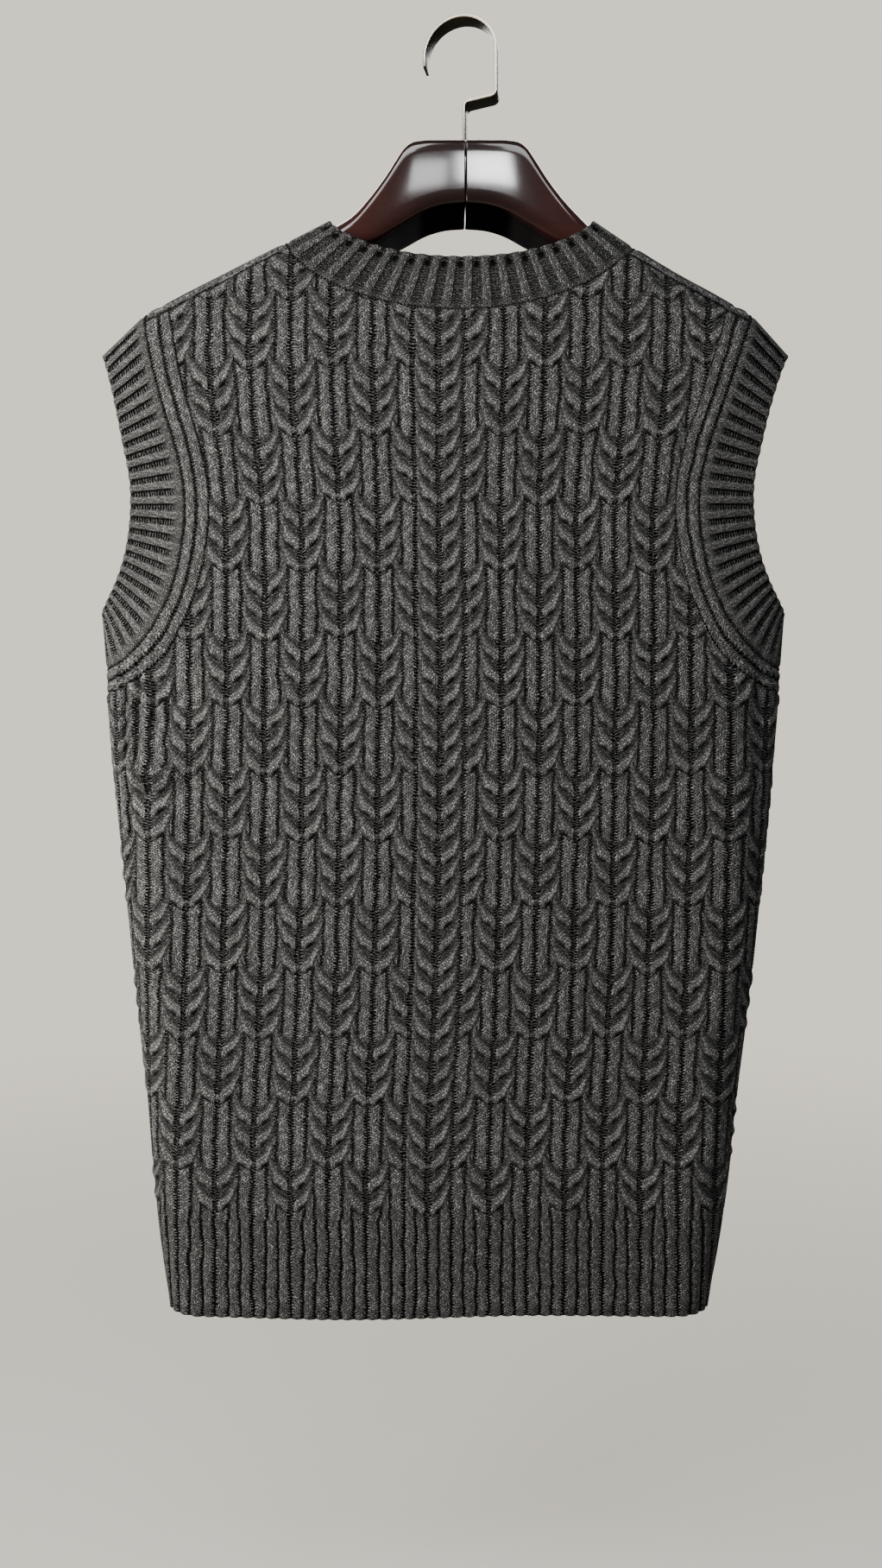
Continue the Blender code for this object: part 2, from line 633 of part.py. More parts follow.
def hanger_half(name, side, material):
    """One moulded half: sections from the middle out to the shoulder's round end."""
    sections = []
    turn = np.linspace(0, 2 * math.pi, HANGER_SIDES, endpoint=False) + math.pi / HANGER_SIDES
    for out, top, bottom, half_depth, roundness in HANGER_ROWS:
        x = HANGER_CENTRE_X + side * out if out < ARM_START_X else side * out
        if top is None:
            spare = NECK_CLEARANCE if out < COLLAR_END_X else CLOTH_CLEARANCE
            top = cloth_ridge_z(x) - WALL - spare
            top -= max(out - HANGER_ROUND_X, 0.0) * HANGER_ROUND_FALL
        middle, half_height = (top + bottom) / 2, (top - bottom) / 2
        power = 2 / roundness
        y = half_depth * np.sign(np.cos(turn)) * np.abs(np.cos(turn)) ** power
        z = middle + half_height * np.sign(np.sin(turn)) * np.abs(np.sin(turn)) ** power
        z = np.where(z > middle, z + (top - z.max()), z)
        sections.append(np.column_stack([np.full_like(y, x), y, z]))
    return loft(name, np.asarray(sections), material, closed=False)


def hook_route():
    """Middle line of the strip, from the stem's foot to the hook's tip, as (x, z)."""
    crown_z = STRIP / 2 - CROWN_RADIUS
    foot_z = HANGER_TOP_Z + SEAM_GAP
    riser_x = CROWN_RADIUS
    route = [(STEM_X, foot_z)]

    def bend(centre, start, end, radius, steps):
        for step in range(steps + 1):
            angle = math.radians(start + (end - start) * step / steps)
            route.append((centre[0] + radius * math.cos(angle),
                          centre[1] + radius * math.sin(angle)))

    bend((STEM_X + BEND, STEP_Z - BEND), 180, 90, BEND, BEND_STEPS)
    bend((riser_x - BEND, STEP_Z + BEND + STEP_RISE), 270, 360, BEND, BEND_STEPS)
    bend((0.0, crown_z), 0, 180, CROWN_RADIUS, CROWN_STEPS)
    route.append((-CROWN_RADIUS, crown_z - TIP_DROP))
    return np.asarray(route)


def hook(name, material):
    """The strip: its route thickened into an outline, and given its width along Y."""
    route = hook_route()
    run = np.gradient(route, axis=0)
    run /= np.linalg.norm(run, axis=1)[:, None]
    side = np.column_stack([-run[:, 1], run[:, 0]]) * STRIP / 2
    outline = np.vstack([route + side, (route - side)[::-1]])
    curve = bpy.data.curves.new(name, "CURVE")
    curve.dimensions = "2D"
    curve.fill_mode = "BOTH"
    curve.extrude = STRIP_WIDTH / 2
    spline = curve.splines.new("POLY")
    spline.points.add(len(outline) - 1)
    for point, (x, z) in zip(spline.points, outline):
        point.co = (x, z, 0.0, 1.0)
    spline.use_cyclic_u = True
    flat = bpy.data.objects.new(name + "_outline", curve)
    flat.rotation_euler = (math.pi / 2, 0.0, 0.0)
    bpy.context.scene.collection.objects.link(flat)
    bpy.context.view_layer.update()
    placed = flat.evaluated_get(bpy.context.evaluated_depsgraph_get())
    mesh = bpy.data.meshes.new_from_object(placed)
    shape = bmesh.new()
    shape.from_mesh(mesh)
    bmesh.ops.remove_doubles(shape, verts=shape.verts, dist=1e-6)
    bmesh.ops.recalc_face_normals(shape, faces=shape.faces)
    shape.to_mesh(mesh)
    shape.free()
    made = bpy.data.objects.new(name, mesh)
    made.matrix_world = flat.matrix_world
    bpy.data.objects.remove(flat, do_unlink=True)
    mesh.materials.clear()
    mesh.materials.append(material)
    bpy.data.collections[COLLECTION].objects.link(made)
    return made


# --- meshes and materials -----------------------------------------------------------------
def closed_mesh(name, points, faces, material):
    """A named object from points and faces, with its faces turned outwards."""
    mesh = bpy.data.meshes.new(name)
    mesh.from_pydata([tuple(point) for point in points], [], faces)
    shape = bmesh.new()
    shape.from_mesh(mesh)
    loose = [vert for vert in shape.verts if not vert.link_faces]
    bmesh.ops.delete(shape, geom=loose, context="VERTS")
    bmesh.ops.recalc_face_normals(shape, faces=shape.faces)
    if shape.calc_volume(signed=True) < 0:
        bmesh.ops.reverse_faces(shape, faces=shape.faces)
    shape.to_mesh(mesh)
    shape.free()
    mesh.materials.append(material)
    made = bpy.data.objects.new(name, mesh)
    bpy.data.collections[COLLECTION].objects.link(made)
    return made


def loft(name, sections, material, closed):
    """Skin a row of equal-sized sections, as a ring or with flat ends."""
    count, size = sections.shape[:2]
    faces = []
    for row in range(count if closed else count - 1):
        after = (row + 1) % count
        for corner in range(size):
            side = (corner + 1) % size
            faces.append([row * size + corner, row * size + side,
                          after * size + side, after * size + corner])
    if not closed:
        faces.append(list(range(size)))
        faces.append([(count - 1) * size + corner for corner in range(size)])
    made = closed_mesh(name, sections.reshape(-1, 3), faces, material)
    if not closed:
        made.data.shade_smooth()
        made.data.set_sharp_from_angle(angle=math.radians(40))
    return made


def finish(name, colour, roughness, metallic=0.0):
    material = bpy.data.materials.new(name)
    material.use_nodes = True
    shader = material.node_tree.nodes["Principled BSDF"]
    shader.inputs["Base Color"].default_value = colour
    shader.inputs["Roughness"].default_value = roughness
    shader.inputs["Metallic"].default_value = metallic
    return material


def main():
    for old in list(bpy.data.objects):
        bpy.data.objects.remove(old, do_unlink=True)
    collection = bpy.data.collections.new(COLLECTION)
    bpy.context.scene.collection.children.link(collection)
    knits = ("back_panel", "front_panel", "neck_band", "armhole_band_left", "armhole_band_right")
    knit = {name: finish(name + "_knit", KNIT_COLOUR, 0.92) for name in knits}

    arms = {side: arm_seam(side) for side in (-1, 1)}
    neck_back, neck_front = neck_seam()
    panel("back_panel", -1, neck_back, arms, knit["back_panel"])
    panel("front_panel", 1, neck_front, arms, knit["front_panel"])
    neck_band("neck_band", neck_back, neck_front, knit["neck_band"])
    arm_band("armhole_band_left", -1, arms[-1], knit["armhole_band_left"])
    arm_band("armhole_band_right", 1, arms[1], knit["armhole_band_right"])
    for side, word in ((-1, "left"), (1, "right")):
        name = "hanger_" + word
        hanger_half(name, side, finish(name + "_lacquer", LACQUER_COLOUR, 0.18))
    hook("hook_strip", finish("hook_metal", METAL_COLOUR, 0.25, 1.0))


main()
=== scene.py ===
"""Looks of the cable-knit sweater vest on its lacquered hanger.

The back of the vest faces -Y, +X runs to the right as seen from there, and +Z is up.
Everything is in metres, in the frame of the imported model.

A place on the cloth is (s, v): s runs across from the centre line, round the side turns,
and v runs down the back from the shoulder ridge (negative v runs down the front).  The
knit pattern is charted once, in KnitChart, and read twice: with arrays for the raised
shape of the meshes, and with shader sockets for the stitches of the finishes.
"""

import logging
import math
from dataclasses import dataclass
from enum import Enum
from typing import Any, Callable, Iterable, Sequence, Union

import bmesh
import bpy
import numpy as np
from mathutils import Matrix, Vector
from mathutils.geometry import delaunay_2d_cdt
from mathutils.kdtree import KDTree


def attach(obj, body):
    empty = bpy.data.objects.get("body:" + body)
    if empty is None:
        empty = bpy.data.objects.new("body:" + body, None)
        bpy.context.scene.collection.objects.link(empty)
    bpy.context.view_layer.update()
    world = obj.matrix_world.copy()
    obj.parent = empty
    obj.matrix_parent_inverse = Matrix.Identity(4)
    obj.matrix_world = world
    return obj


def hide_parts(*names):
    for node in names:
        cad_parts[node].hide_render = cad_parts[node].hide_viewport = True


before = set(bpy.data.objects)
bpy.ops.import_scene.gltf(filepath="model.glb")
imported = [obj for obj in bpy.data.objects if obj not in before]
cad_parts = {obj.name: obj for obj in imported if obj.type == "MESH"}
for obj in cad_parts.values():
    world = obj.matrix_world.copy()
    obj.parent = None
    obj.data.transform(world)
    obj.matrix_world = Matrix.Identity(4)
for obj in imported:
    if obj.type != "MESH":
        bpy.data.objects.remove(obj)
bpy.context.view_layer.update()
BODY = "root"
LOG = logging.getLogger("vest")
TAU = 2 * math.pi
CHART_MAP = "chart"
GOLDEN = 0.618           # spreads whole numbers evenly between 0 and 1
SIDES = ((-1, "left"), (1, "right"))

Table = tuple[tuple[float, ...], ...]
Colour = tuple[float, float, float]


# --- shader maths -------------------------------------------------------------------
def operator(operation: str, turned: bool = False) -> Callable[["Wire", "Value"], "Wire"]:
    """A Python operator of wires that adds a Math node; turned, the wire comes second."""
    def run(wire: "Wire", other: "Value") -> "Wire":
        values = (other, wire) if turned else (wire, other)
        return wire.bench.maths(operation, *values)
    return run


class Wire:
    """A shader socket that can be used in Python expressions."""

    def __init__(self, bench: "Bench", socket: bpy.types.NodeSocket) -> None:
        self.bench = bench
        self.socket = socket

    __add__ = __radd__ = operator("ADD")
    __sub__, __rsub__ = operator("SUBTRACT"), operator("SUBTRACT", turned=True)
    __mul__ = __rmul__ = operator("MULTIPLY")
    __truediv__ = operator("DIVIDE")
    __pow__ = operator("POWER")


Value = Union[float, np.ndarray, Wire]


class Bench:
    """Makes the nodes of one material."""

    def __init__(self, material: bpy.types.Material) -> None:
        material.use_nodes = True
        self.tree = material.node_tree
        self.shader = self.tree.nodes["Principled BSDF"]

    def node(self, kind: str, settings: dict[str, Any] | None = None,
             sockets: dict[Any, Any] | None = None, output: Any = 0) -> Wire:
        """Add one node.

        Args:
            kind: The node's type.
            settings: Properties that are set first.
            sockets: Values or links of its inputs, by name or number.
            output: The output that is returned, by name or number.

        Returns:
            The chosen output.
        """
        made = self.tree.nodes.new(kind)
        for name, value in (settings or {}).items():
            setattr(made, name, value)
        for name, value in (sockets or {}).items():
            self.feed(made.inputs[name], value)
        return Wire(self, made.outputs[output])

    def feed(self, socket: bpy.types.NodeSocket, value: Any) -> None:
        """Link a wire to a socket, or set the socket's own value."""
        if isinstance(value, Wire):
            self.tree.links.new(value.socket, socket)
        else:
            socket.default_value = value

    def maths(self, operation: str, *values: Value) -> Wire:
        """Add a Math node on up to three values."""
        return self.node("ShaderNodeMath", {"operation": operation}, dict(enumerate(values)))

    def mix(self, share: Value, first: Any, second: Any) -> Wire:
        """Mix two colours, each a wire or a Colour."""
        first, second = (shade if isinstance(shade, Wire) else (*shade, 1.0)
                         for shade in (first, second))
        settings = {"data_type": "RGBA", "blend_type": "MIX", "clamp_factor": True}
        return self.node("ShaderNodeMix", settings, {0: share, 6: first, 7: second}, 2)

    def place(self, kind: str = "Object") -> Wire:
        """A place on the object, or its normal there."""
        return self.node("ShaderNodeTexCoord", {}, {}, kind)

    def stretched(self, place: Wire, factors: tuple[float, float, float]) -> Wire:
        """A vector with each of its numbers multiplied."""
        return self.node("ShaderNodeVectorMath", {"operation": "MULTIPLY"},
                         {0: place, 1: factors})

    def parts(self, vector: Wire) -> list[Wire]:
        """The three numbers of a vector."""
        split = self.node("ShaderNodeSeparateXYZ", {}, {0: vector})
        return [Wire(self, output) for output in split.socket.node.outputs]

    def vector(self, x: Value, y: Value, z: Value = 0.0) -> Wire:
        """Join three numbers into a vector."""
        return self.node("ShaderNodeCombineXYZ", {}, {0: x, 1: y, 2: z})

    def noise(self, place: Wire, scale: float, detail: float = 2.0) -> Wire:
        """A smooth random number about a half, from a vector."""
        return self.node("ShaderNodeTexNoise", {}, {"Vector": place, "Scale": scale,
                                                    "Detail": detail})

    def grain(self, place: Wire) -> Wire:
        """A random number that is the same all over each whole step of a vector."""
        return self.node("ShaderNodeTexWhiteNoise", {"noise_dimensions": "3D"},
                         {"Vector": place})

    def attribute(self, name: str) -> Wire:
        """A number that the mesh holds for each point."""
        return self.node("ShaderNodeAttribute", {"attribute_name": name}, {}, "Fac")

    def chart_place(self) -> tuple[Wire, Wire]:
        """Across and down on the piece's own chart."""
        across, down, _ = self.parts(self.node("ShaderNodeUVMap", {"uv_map": CHART_MAP}))
        return across, down

    def finish(self, **sockets: Any) -> None:
        """Set or link the shader's sockets, by name with _ for a space."""
        for name, value in sockets.items():
            self.feed(self.shader.inputs[name.replace("_", " ")], value)

    def bump(self, height: Wire, distance: float) -> Wire:
        """A normal from a height in metres."""
        return self.node("ShaderNodeBump", {}, {"Strength": 1.0, "Distance": distance,
                                                "Height": height})


def either(operation: str, arrays: Callable[..., np.ndarray]) -> Callable[..., Value]:
    """A function that works on arrays, and on wires as a Math node."""
    def run(value: Value, *others: Value) -> Value:
        if isinstance(value, Wire):
            return value.bench.maths(operation, value, *others)
        return arrays(value, *others)
    return run


floor_of = either("FLOOR", np.floor)            # whole steps below a value
size_of = either("ABSOLUTE", np.abs)            # a value without its sign
sine = either("SINE", np.sin)
most = either("MAXIMUM", np.maximum)
least = either("MINIMUM", np.minimum)
above = either("GREATER_THAN", lambda value, limit: np.where(value > limit, 1.0, 0.0))


def spread_of(value: Value) -> Value:
    """The part of a value beyond its whole steps, less a half."""
    return value - floor_of(value) - 0.5


def soft_step(value: Value, low: float, high: float) -> Value:
    """0 below low, 1 above high, and an even S between."""
    if isinstance(value, Wire):
        settings = {"interpolation_type": "SMOOTHSTEP"}
        return value.bench.node("ShaderNodeMapRange", settings, {0: value, 1: low, 2: high})
    t = np.clip((value - low) / (high - low), 0, 1)
    return t * t * (3 - 2 * t)


def soft_fall(value: Value, low: float, high: float) -> Value:
    """1 below low, 0 above high, and an even S between."""
    return 1.0 - soft_step(value, low, high)


def plateau(value: Value, rise: Sequence[float], fall: Sequence[float]) -> Value:
    """1 between a soft rise and a soft fall, and 0 beyond them."""
    return soft_step(value, *rise) * soft_fall(value, *fall)


def between(share: Value, first: Value, second: Value) -> Value:
    """first where share is 0, and second where it is 1."""
    return first + (second - first) * share


def hill(value: Value, middle: float, reach: float) -> Value:
    """1 at the middle, falling softly to 0 about one and a half reaches away."""
    return soft_fall(size_of(value - middle), 0.0, reach * 1.6)


# --- tables and curves ---------------------------------------------------------------
def smooth(rows: Sequence, at: Any, key: int = 0) -> np.ndarray:
    """Read every column of a table on a smooth curve.

    Args:
        rows: The table.
        at: One or many keys.
        key: The column that holds the keys.

    Returns:
        The columns, each with one value per key.
    """
    table = np.asarray(rows, float)
    keys = table[:, key]
    slopes = np.gradient(table, keys, axis=0)
    at = np.clip(np.asarray(at, float), keys[0], keys[-1])
    row = np.clip(np.searchsorted(keys, at) - 1, 0, len(keys) - 2)
    span = (keys[row + 1] - keys[row])[..., None]
    t = (at[..., None] - keys[row][..., None]) / span
    start = (1 + 2 * t) * (1 - t) ** 2 * table[row] + t * (1 - t) ** 2 * span * slopes[row]
    end = t * t * (3 - 2 * t) * table[row + 1] + t * t * (t - 1) * span * slopes[row + 1]
    return np.moveaxis(start + end, -1, 0)


def lengths(points: np.ndarray) -> np.ndarray:
    """Length along a route up to each of its points."""
    steps = np.linalg.norm(np.diff(points, axis=0), axis=1)
    return np.concatenate([[0], np.cumsum(steps)])


def along(rows: Sequence, samples: int) -> np.ndarray:
    """A smooth route through a table's rows, evenly by length."""
    table = np.asarray(rows, float)
    keyed = np.column_stack([lengths(table), table])
    return smooth(keyed, np.linspace(0, keyed[-1, 0], samples))[1:].T


def even_steps(points: np.ndarray, data: np.ndarray, count: int) -> np.ndarray:
    """Data read at count + 1 places that are evenly spaced along points."""
    length = lengths(points)
    at = np.linspace(0, length[-1], count + 1)
    return np.column_stack([np.interp(at, length, column) for column in data.T])


def unit(vectors: np.ndarray) -> np.ndarray:
    """Vectors scaled to a length of one."""
    return vectors / np.linalg.norm(vectors, axis=-1, keepdims=True)


def distance_to(route: np.ndarray, places: np.ndarray, step: float = 0.0004) -> np.ndarray:
    """Least distance from each place to a route, in the flat plan."""
    length = lengths(route)
    close = even_steps(route, route, max(2, int(length[-1] / step)))
    tree = KDTree(len(close))
    for number, place in enumerate(close):
        tree.insert((*place, 0.0), number)
    tree.balance()
    return np.asarray([tree.find((x, y, 0.0))[2] for x, y in places.tolist()])


def nearest(routes: Iterable[np.ndarray], places: np.ndarray) -> np.ndarray:
    """Least distance from each place to any of the routes."""
    return np.min([distance_to(route, places) for route in routes], axis=0)


def within(outline: np.ndarray, places: np.ndarray, block: int = 4000) -> np.ndarray:
    """Whether each place lies within a closed outline."""
    start, end = outline, np.roll(outline, -1, axis=0)
    found = np.empty(len(places), bool)
    for first in range(0, len(places), block):
        x, y = places[first:first + block].T[:, :, None]
        rises = (start[:, 1] > y) != (end[:, 1] > y)
        height = np.where(rises, end[:, 1] - start[:, 1], 1.0)
        cut = start[:, 0] + (y - start[:, 1]) * (end[:, 0] - start[:, 0]) / height
        found[first:first + block] = np.count_nonzero(rises & (x < cut), axis=1) % 2 == 1
    return found


# --- the cloth's form ------------------------------------------------------------------
class Face(Enum):
    """A side of the vest, by the sign of its Y."""

    BACK = -1
    FRONT = 1


@dataclass(frozen=True)
class ClothForm:
    """The outer ground of the vest, and the seams on it."""

    wall: float = 0.0024
    seam_gap: float = 0.0003
    hem_z: float = -0.8265
    hem_wave: float = 0.0016
    hem_wave_reach: tuple[float, float] = (0.0470, 0.1100)
    underarm_z: float = -0.4200
    crown: float = 0.0025
    ridge_drop: float = 0.0220
    ridge_reach: float = 0.0235
    seam_drop: float = 0.0120
    body_rows: Table = (                     # z, half width, half depth, side turn
        (-0.8265, 0.1722, 0.0225, 0.0240), (-0.7680, 0.1812, 0.0235, 0.0260),
        (-0.6840, 0.1898, 0.0240, 0.0280), (-0.6120, 0.1982, 0.0245, 0.0290),
        (-0.5450, 0.2052, 0.0245, 0.0320), (-0.4890, 0.2108, 0.0250, 0.0380),
        (-0.4200, 0.2160, 0.0255, 0.0420), (-0.3300, 0.2165, 0.0250, 0.0380),
        (-0.1200, 0.2165, 0.0245, 0.0360),
    )
    lean_rows: Table = (                     # z, x of the centre line
        (-0.8265, -0.0144), (-0.7000, -0.0122), (-0.4200, -0.0115), (-0.2170, -0.0100),
        (-0.1900, -0.0080), (-0.1660, -0.0062), (-0.1480, -0.0030), (-0.1300, -0.0010),
    )
    ridge_rows: Table = (                    # s, z
        (0.0000, -0.1250), (0.0600, -0.1290), (0.0820, -0.1345), (0.1110, -0.1495),
        (0.1430, -0.1670), (0.1730, -0.1828), (0.1975, -0.1972), (0.2200, -0.2160),
    )
    fold_rows: Table = (                     # face, s, z, reach across, reach down, lift
        (-1, 0.0000, -0.4935, 0.2600, 0.0050, -0.0012),
        (-1, -0.1780, -0.4480, 0.0220, 0.0400, -0.0030),
        (-1, -0.1900, -0.4960, 0.0260, 0.0180, 0.0022),
        (-1, 0.1850, -0.4600, 0.0240, 0.0420, -0.0024),
        (-1, -0.1100, -0.6300, 0.0400, 0.1100, -0.0016),
        (-1, 0.1200, -0.6500, 0.0400, 0.1200, -0.0018),
        (1, 0.0000, -0.4935, 0.2600, 0.0050, -0.0010),
        (1, -0.1650, -0.4500, 0.0240, 0.0500, -0.0028),
        (1, 0.1700, -0.4600, 0.0240, 0.0460, -0.0026),
        (1, 0.0300, -0.6600, 0.0450, 0.1200, -0.0018),
        (-1, -0.1450, -0.4975, 0.0420, 0.0040, -0.0016),
        (-1, 0.0900, -0.4900, 0.0700, 0.0030, -0.0008),
        (-1, -0.1980, -0.4550, 0.0036, 0.0400, -0.0075),
        (-1, -0.1880, -0.4480, 0.0030, 0.0340, -0.0060),
        (-1, -0.1790, -0.4500, 0.0028, 0.0280, -0.0042),
        (-1, -0.1690, -0.4420, 0.0030, 0.0200, -0.0024),
        (-1, -0.1860, -0.4870, 0.0210, 0.0056, 0.0070),
        (-1, -0.1840, -0.5010, 0.0150, 0.0044, -0.0075),
        (-1, -0.1940, -0.5240, 0.0034, 0.0240, -0.0050),
        (-1, 0.1960, -0.4550, 0.0050, 0.0440, -0.0044),
        (-1, 0.1860, -0.4960, 0.0200, 0.0060, 0.0026),
        (-1, -0.0300, -0.3300, 0.0200, 0.0900, -0.0009),
        (-1, 0.0850, -0.3000, 0.0240, 0.0700, -0.0012),
        (-1, -0.1050, -0.2900, 0.0200, 0.0600, -0.0010),
        (-1, 0.0500, -0.6900, 0.0220, 0.1000, -0.0010),
        (-1, -0.0600, -0.7200, 0.0260, 0.0700, 0.0010),
        (1, 0.1500, -0.4990, 0.0420, 0.0040, -0.0014),
        (1, -0.0800, -0.4880, 0.0600, 0.0034, -0.0008),
        (1, 0.1950, -0.4620, 0.0044, 0.0440, -0.0046),
        (1, -0.1960, -0.4540, 0.0050, 0.0460, -0.0052),
        (1, -0.1860, -0.5000, 0.0190, 0.0060, 0.0036),
        (1, 0.0600, -0.3500, 0.0240, 0.0800, -0.0012),
        (1, -0.0900, -0.3300, 0.0220, 0.0700, -0.0010),
        (1, -0.0700, -0.6900, 0.0260, 0.1000, -0.0012),
    )
    arm_seam_rows: Table = (                 # s, z, from the underarm to the ridge
        (0.2160, -0.4200), (0.2060, -0.4165), (0.1920, -0.4060), (0.1800, -0.3915),
        (0.1700, -0.3710), (0.1635, -0.3460), (0.1610, -0.3240), (0.1620, -0.3050),
        (0.1660, -0.2860), (0.1755, -0.2560), (0.1865, -0.2180), (0.1925, -0.1945),
    )
    arm_ribs: tuple[int, int] = (25, 29)     # on the back and on the front
    neck_ribs: tuple[int, int] = (18, 22)
    neck_shift: float = 0.0030
    neck_half: float = 0.1110
    neck_dips: tuple[float, float] = (0.0475, 0.0770)
    neck_powers: tuple[float, float] = (1.2, 1.0)
    samples: int = 900

    @property
    def top_length(self) -> float:
        """Length over a quarter turn of the ridge."""
        return self.ridge_reach * math.pi / 2

    @property
    def seam_v(self) -> float:
        """Length from the ridge to the shoulder seam."""
        return self.ridge_reach * math.acos(1 - self.seam_drop / self.ridge_drop)

    def ridge_z(self, s: Any) -> np.ndarray:
        """Height of the shoulder ridge."""
        return smooth(self.ridge_rows, np.abs(s))[1]

    def centre_x(self, z: Any) -> np.ndarray:
        """World x of the centre line."""
        return smooth(self.lean_rows, z)[1]

    def side_reach(self, z: Any) -> np.ndarray:
        """s of the side seam at a height."""
        _, half_width, half_depth, side_turn = smooth(self.body_rows, z)
        return half_width - side_turn + (side_turn + half_depth) / 2 * math.pi / 2

    def ridge_to_z(self, s: Any) -> np.ndarray:
        """Length down the cloth that stands for a height of zero."""
        return self.ridge_z(s) - self.ridge_drop + self.top_length

    def plan(self, s: Any, v: Any, face: Face) -> np.ndarray:
        """(s, w) of a place, w being an even height that runs on over the ridge."""
        return np.column_stack([s, self.ridge_to_z(s) + face.value * v])

    def v_of(self, s: Any, z: Any, face: Face = Face.BACK) -> np.ndarray:
        """v of a height on one face."""
        drop = np.clip(self.ridge_z(s) - z, 0, None)
        turn = np.arccos(np.clip(1 - drop / self.ridge_drop, 0, 1))
        beyond = np.clip(drop - self.ridge_drop, 0, None)
        return -face.value * (self.ridge_reach * turn + beyond)

    def fold_lift(self, s: np.ndarray, z: np.ndarray, face: np.ndarray) -> np.ndarray:
        """How far the folds move the cloth."""
        lift = np.zeros_like(z)
        for fold_face, fold_s, fold_z, s_reach, z_reach, height in self.fold_rows:
            shape = np.exp(-((s - fold_s) / s_reach) ** 2 - ((z - fold_z) / z_reach) ** 2)
            lift += np.where(face == fold_face, height * shape, 0)
        return lift

    def ground(self, s: np.ndarray, v: np.ndarray) -> np.ndarray:
        """Points of the cloth's outer ground."""
        out = np.abs(s)
        face = np.where(v > 0, -1, 1)
        turn = np.clip(np.abs(v) / self.ridge_reach, 0, math.pi / 2)
        rounded = self.ridge_z(out) - self.ridge_drop * (1 - np.cos(turn))
        z = np.where(turn < math.pi / 2, rounded, self.ridge_to_z(out) - np.abs(v))
        _, half_width, half_depth, side_turn = smooth(self.body_rows, z)
        flat = half_width - side_turn
        angle = np.clip((out - flat) / ((side_turn + half_depth) / 2), 0, 0.6 * math.pi)
        x = np.where(out < flat, out, flat + side_turn * np.sin(angle))
        fullness = self.crown * (1 - np.clip(x / half_width, 0, 1) ** 2)
        depth = half_depth + fullness + self.fold_lift(s, z, face)
        depth = depth * np.cos(angle) * np.sin(turn)
        return np.column_stack([self.centre_x(z) + np.sign(s) * x, face * depth, z])

    def normal(self, s: np.ndarray, v: np.ndarray, step: float = 0.0010) -> np.ndarray:
        """Outward normals of the ground."""
        across = self.ground(s + step, v) - self.ground(s - step, v)
        down = self.ground(s, v + step) - self.ground(s, v - step)
        return unit(np.cross(down, across))

    def cloth(self, s: Any, v: Any, lift: Any = 0.0) -> np.ndarray:
        """Points on the cloth, moved out from its ground by lift."""
        s, v = np.atleast_1d(np.asarray(s, float)), np.atleast_1d(np.asarray(v, float))
        return self.ground(s, v) + self.normal(s, v) * np.broadcast_to(lift, s.shape)[:, None]

    def phased(self, back: np.ndarray, front: np.ndarray) -> tuple[np.ndarray, np.ndarray]:
        """Points of a ring, and its places with a count of 0 to 1 along each half."""
        route = np.vstack([back, front[1:]])
        points = self.ground(route[:, 0], route[:, 1])
        phase = np.zeros(len(route))
        turn = len(back) - 1
        for half, first in enumerate((0, turn)):
            length = lengths(points[first:first + turn + 1])
            phase[first:first + turn + 1] = half + length / length[-1]
        return points, np.column_stack([route, phase])

    def arm_seam(self, side: int, per_rib: int) -> tuple[np.ndarray, np.ndarray]:
        """(s, v, phase) places round an armhole.

        Args:
            side: -1 for the left armhole and 1 for the right one.
            per_rib: Places for each rib of the band.

        Returns:
            The back's stretch, from the underarm up, and the front's, from the seam down.
        """
        s, z = along(self.arm_seam_rows, self.samples).T
        z[-1] = self.ridge_z(s[-1])
        _, half_width, half_depth, side_turn = smooth(self.body_rows, z)
        flat = half_width - side_turn
        angle = np.arcsin(np.clip((s - flat) / side_turn, 0, 1))
        s = np.where(s < flat, s, flat + (side_turn + half_depth) / 2 * angle)
        down = self.v_of(s, z)
        back = np.column_stack([s, down])
        front = np.column_stack([s, -down])[::-1]
        points, route = self.phased(back, front)
        seam = int(np.argmax(route[:, 1] < self.seam_v))
        near = even_steps(points[:seam + 1], route[:seam + 1], per_rib * self.arm_ribs[0])
        far = even_steps(points[seam:], route[seam:], per_rib * self.arm_ribs[1])
        near[:, 0] *= side
        far[:, 0] *= side
        return near, far

    def neck_seam(self, per_rib: int) -> tuple[np.ndarray, np.ndarray]:
        """(s, v, phase) places of the neck ring, across the back and across the front."""
        angle = np.linspace(math.pi, 0, self.samples)
        s = self.neck_shift + self.neck_half * np.cos(angle)
        ends = (self.ridge_z(s[0]), self.ridge_z(s[-1]))
        rest = ends[0] + (ends[1] - ends[0]) * (1 + np.cos(angle)) / 2
        dips = [rest - dip * np.sin(angle) ** power
                for dip, power in zip(self.neck_dips, self.neck_powers)]
        back = np.column_stack([s, self.v_of(s, dips[0])])
        front = np.column_stack([s, self.v_of(s, dips[1], Face.FRONT)])[::-1]
        points, route = self.phased(back, front)
        behind = np.flatnonzero(route[:, 1] > self.seam_v)
        start, end = behind[0], behind[-1]
        near = even_steps(points[start:end + 1], route[start:end + 1],
                          per_rib * self.neck_ribs[0])
        over = np.vstack([route[end:], route[1:start + 1] + (0.0, 0.0, 2.0)])
        over_points = np.vstack([points[end:], points[1:start + 1]])
        return near, even_steps(over_points, over, per_rib * self.neck_ribs[1])


# --- the knit pattern --------------------------------------------------------------------
@dataclass(frozen=True)
class Knit:
    """What a chart says of a place, in arrays or in wires."""

    lift: Value              # height over the ground, in metres
    wale: Value              # stitch columns across
    course: Value            # stitches along
    ladder: Value            # 1 in the sunk columns between ribs
    rung: Value              # counts the bars across those columns
    painted_shadow: Value              # 1 where painted shadow lies: under a crossing strand, along dark lines and in eyelets
    crest: Value             # painted highlight along the top of a strand or rib, less painted shade
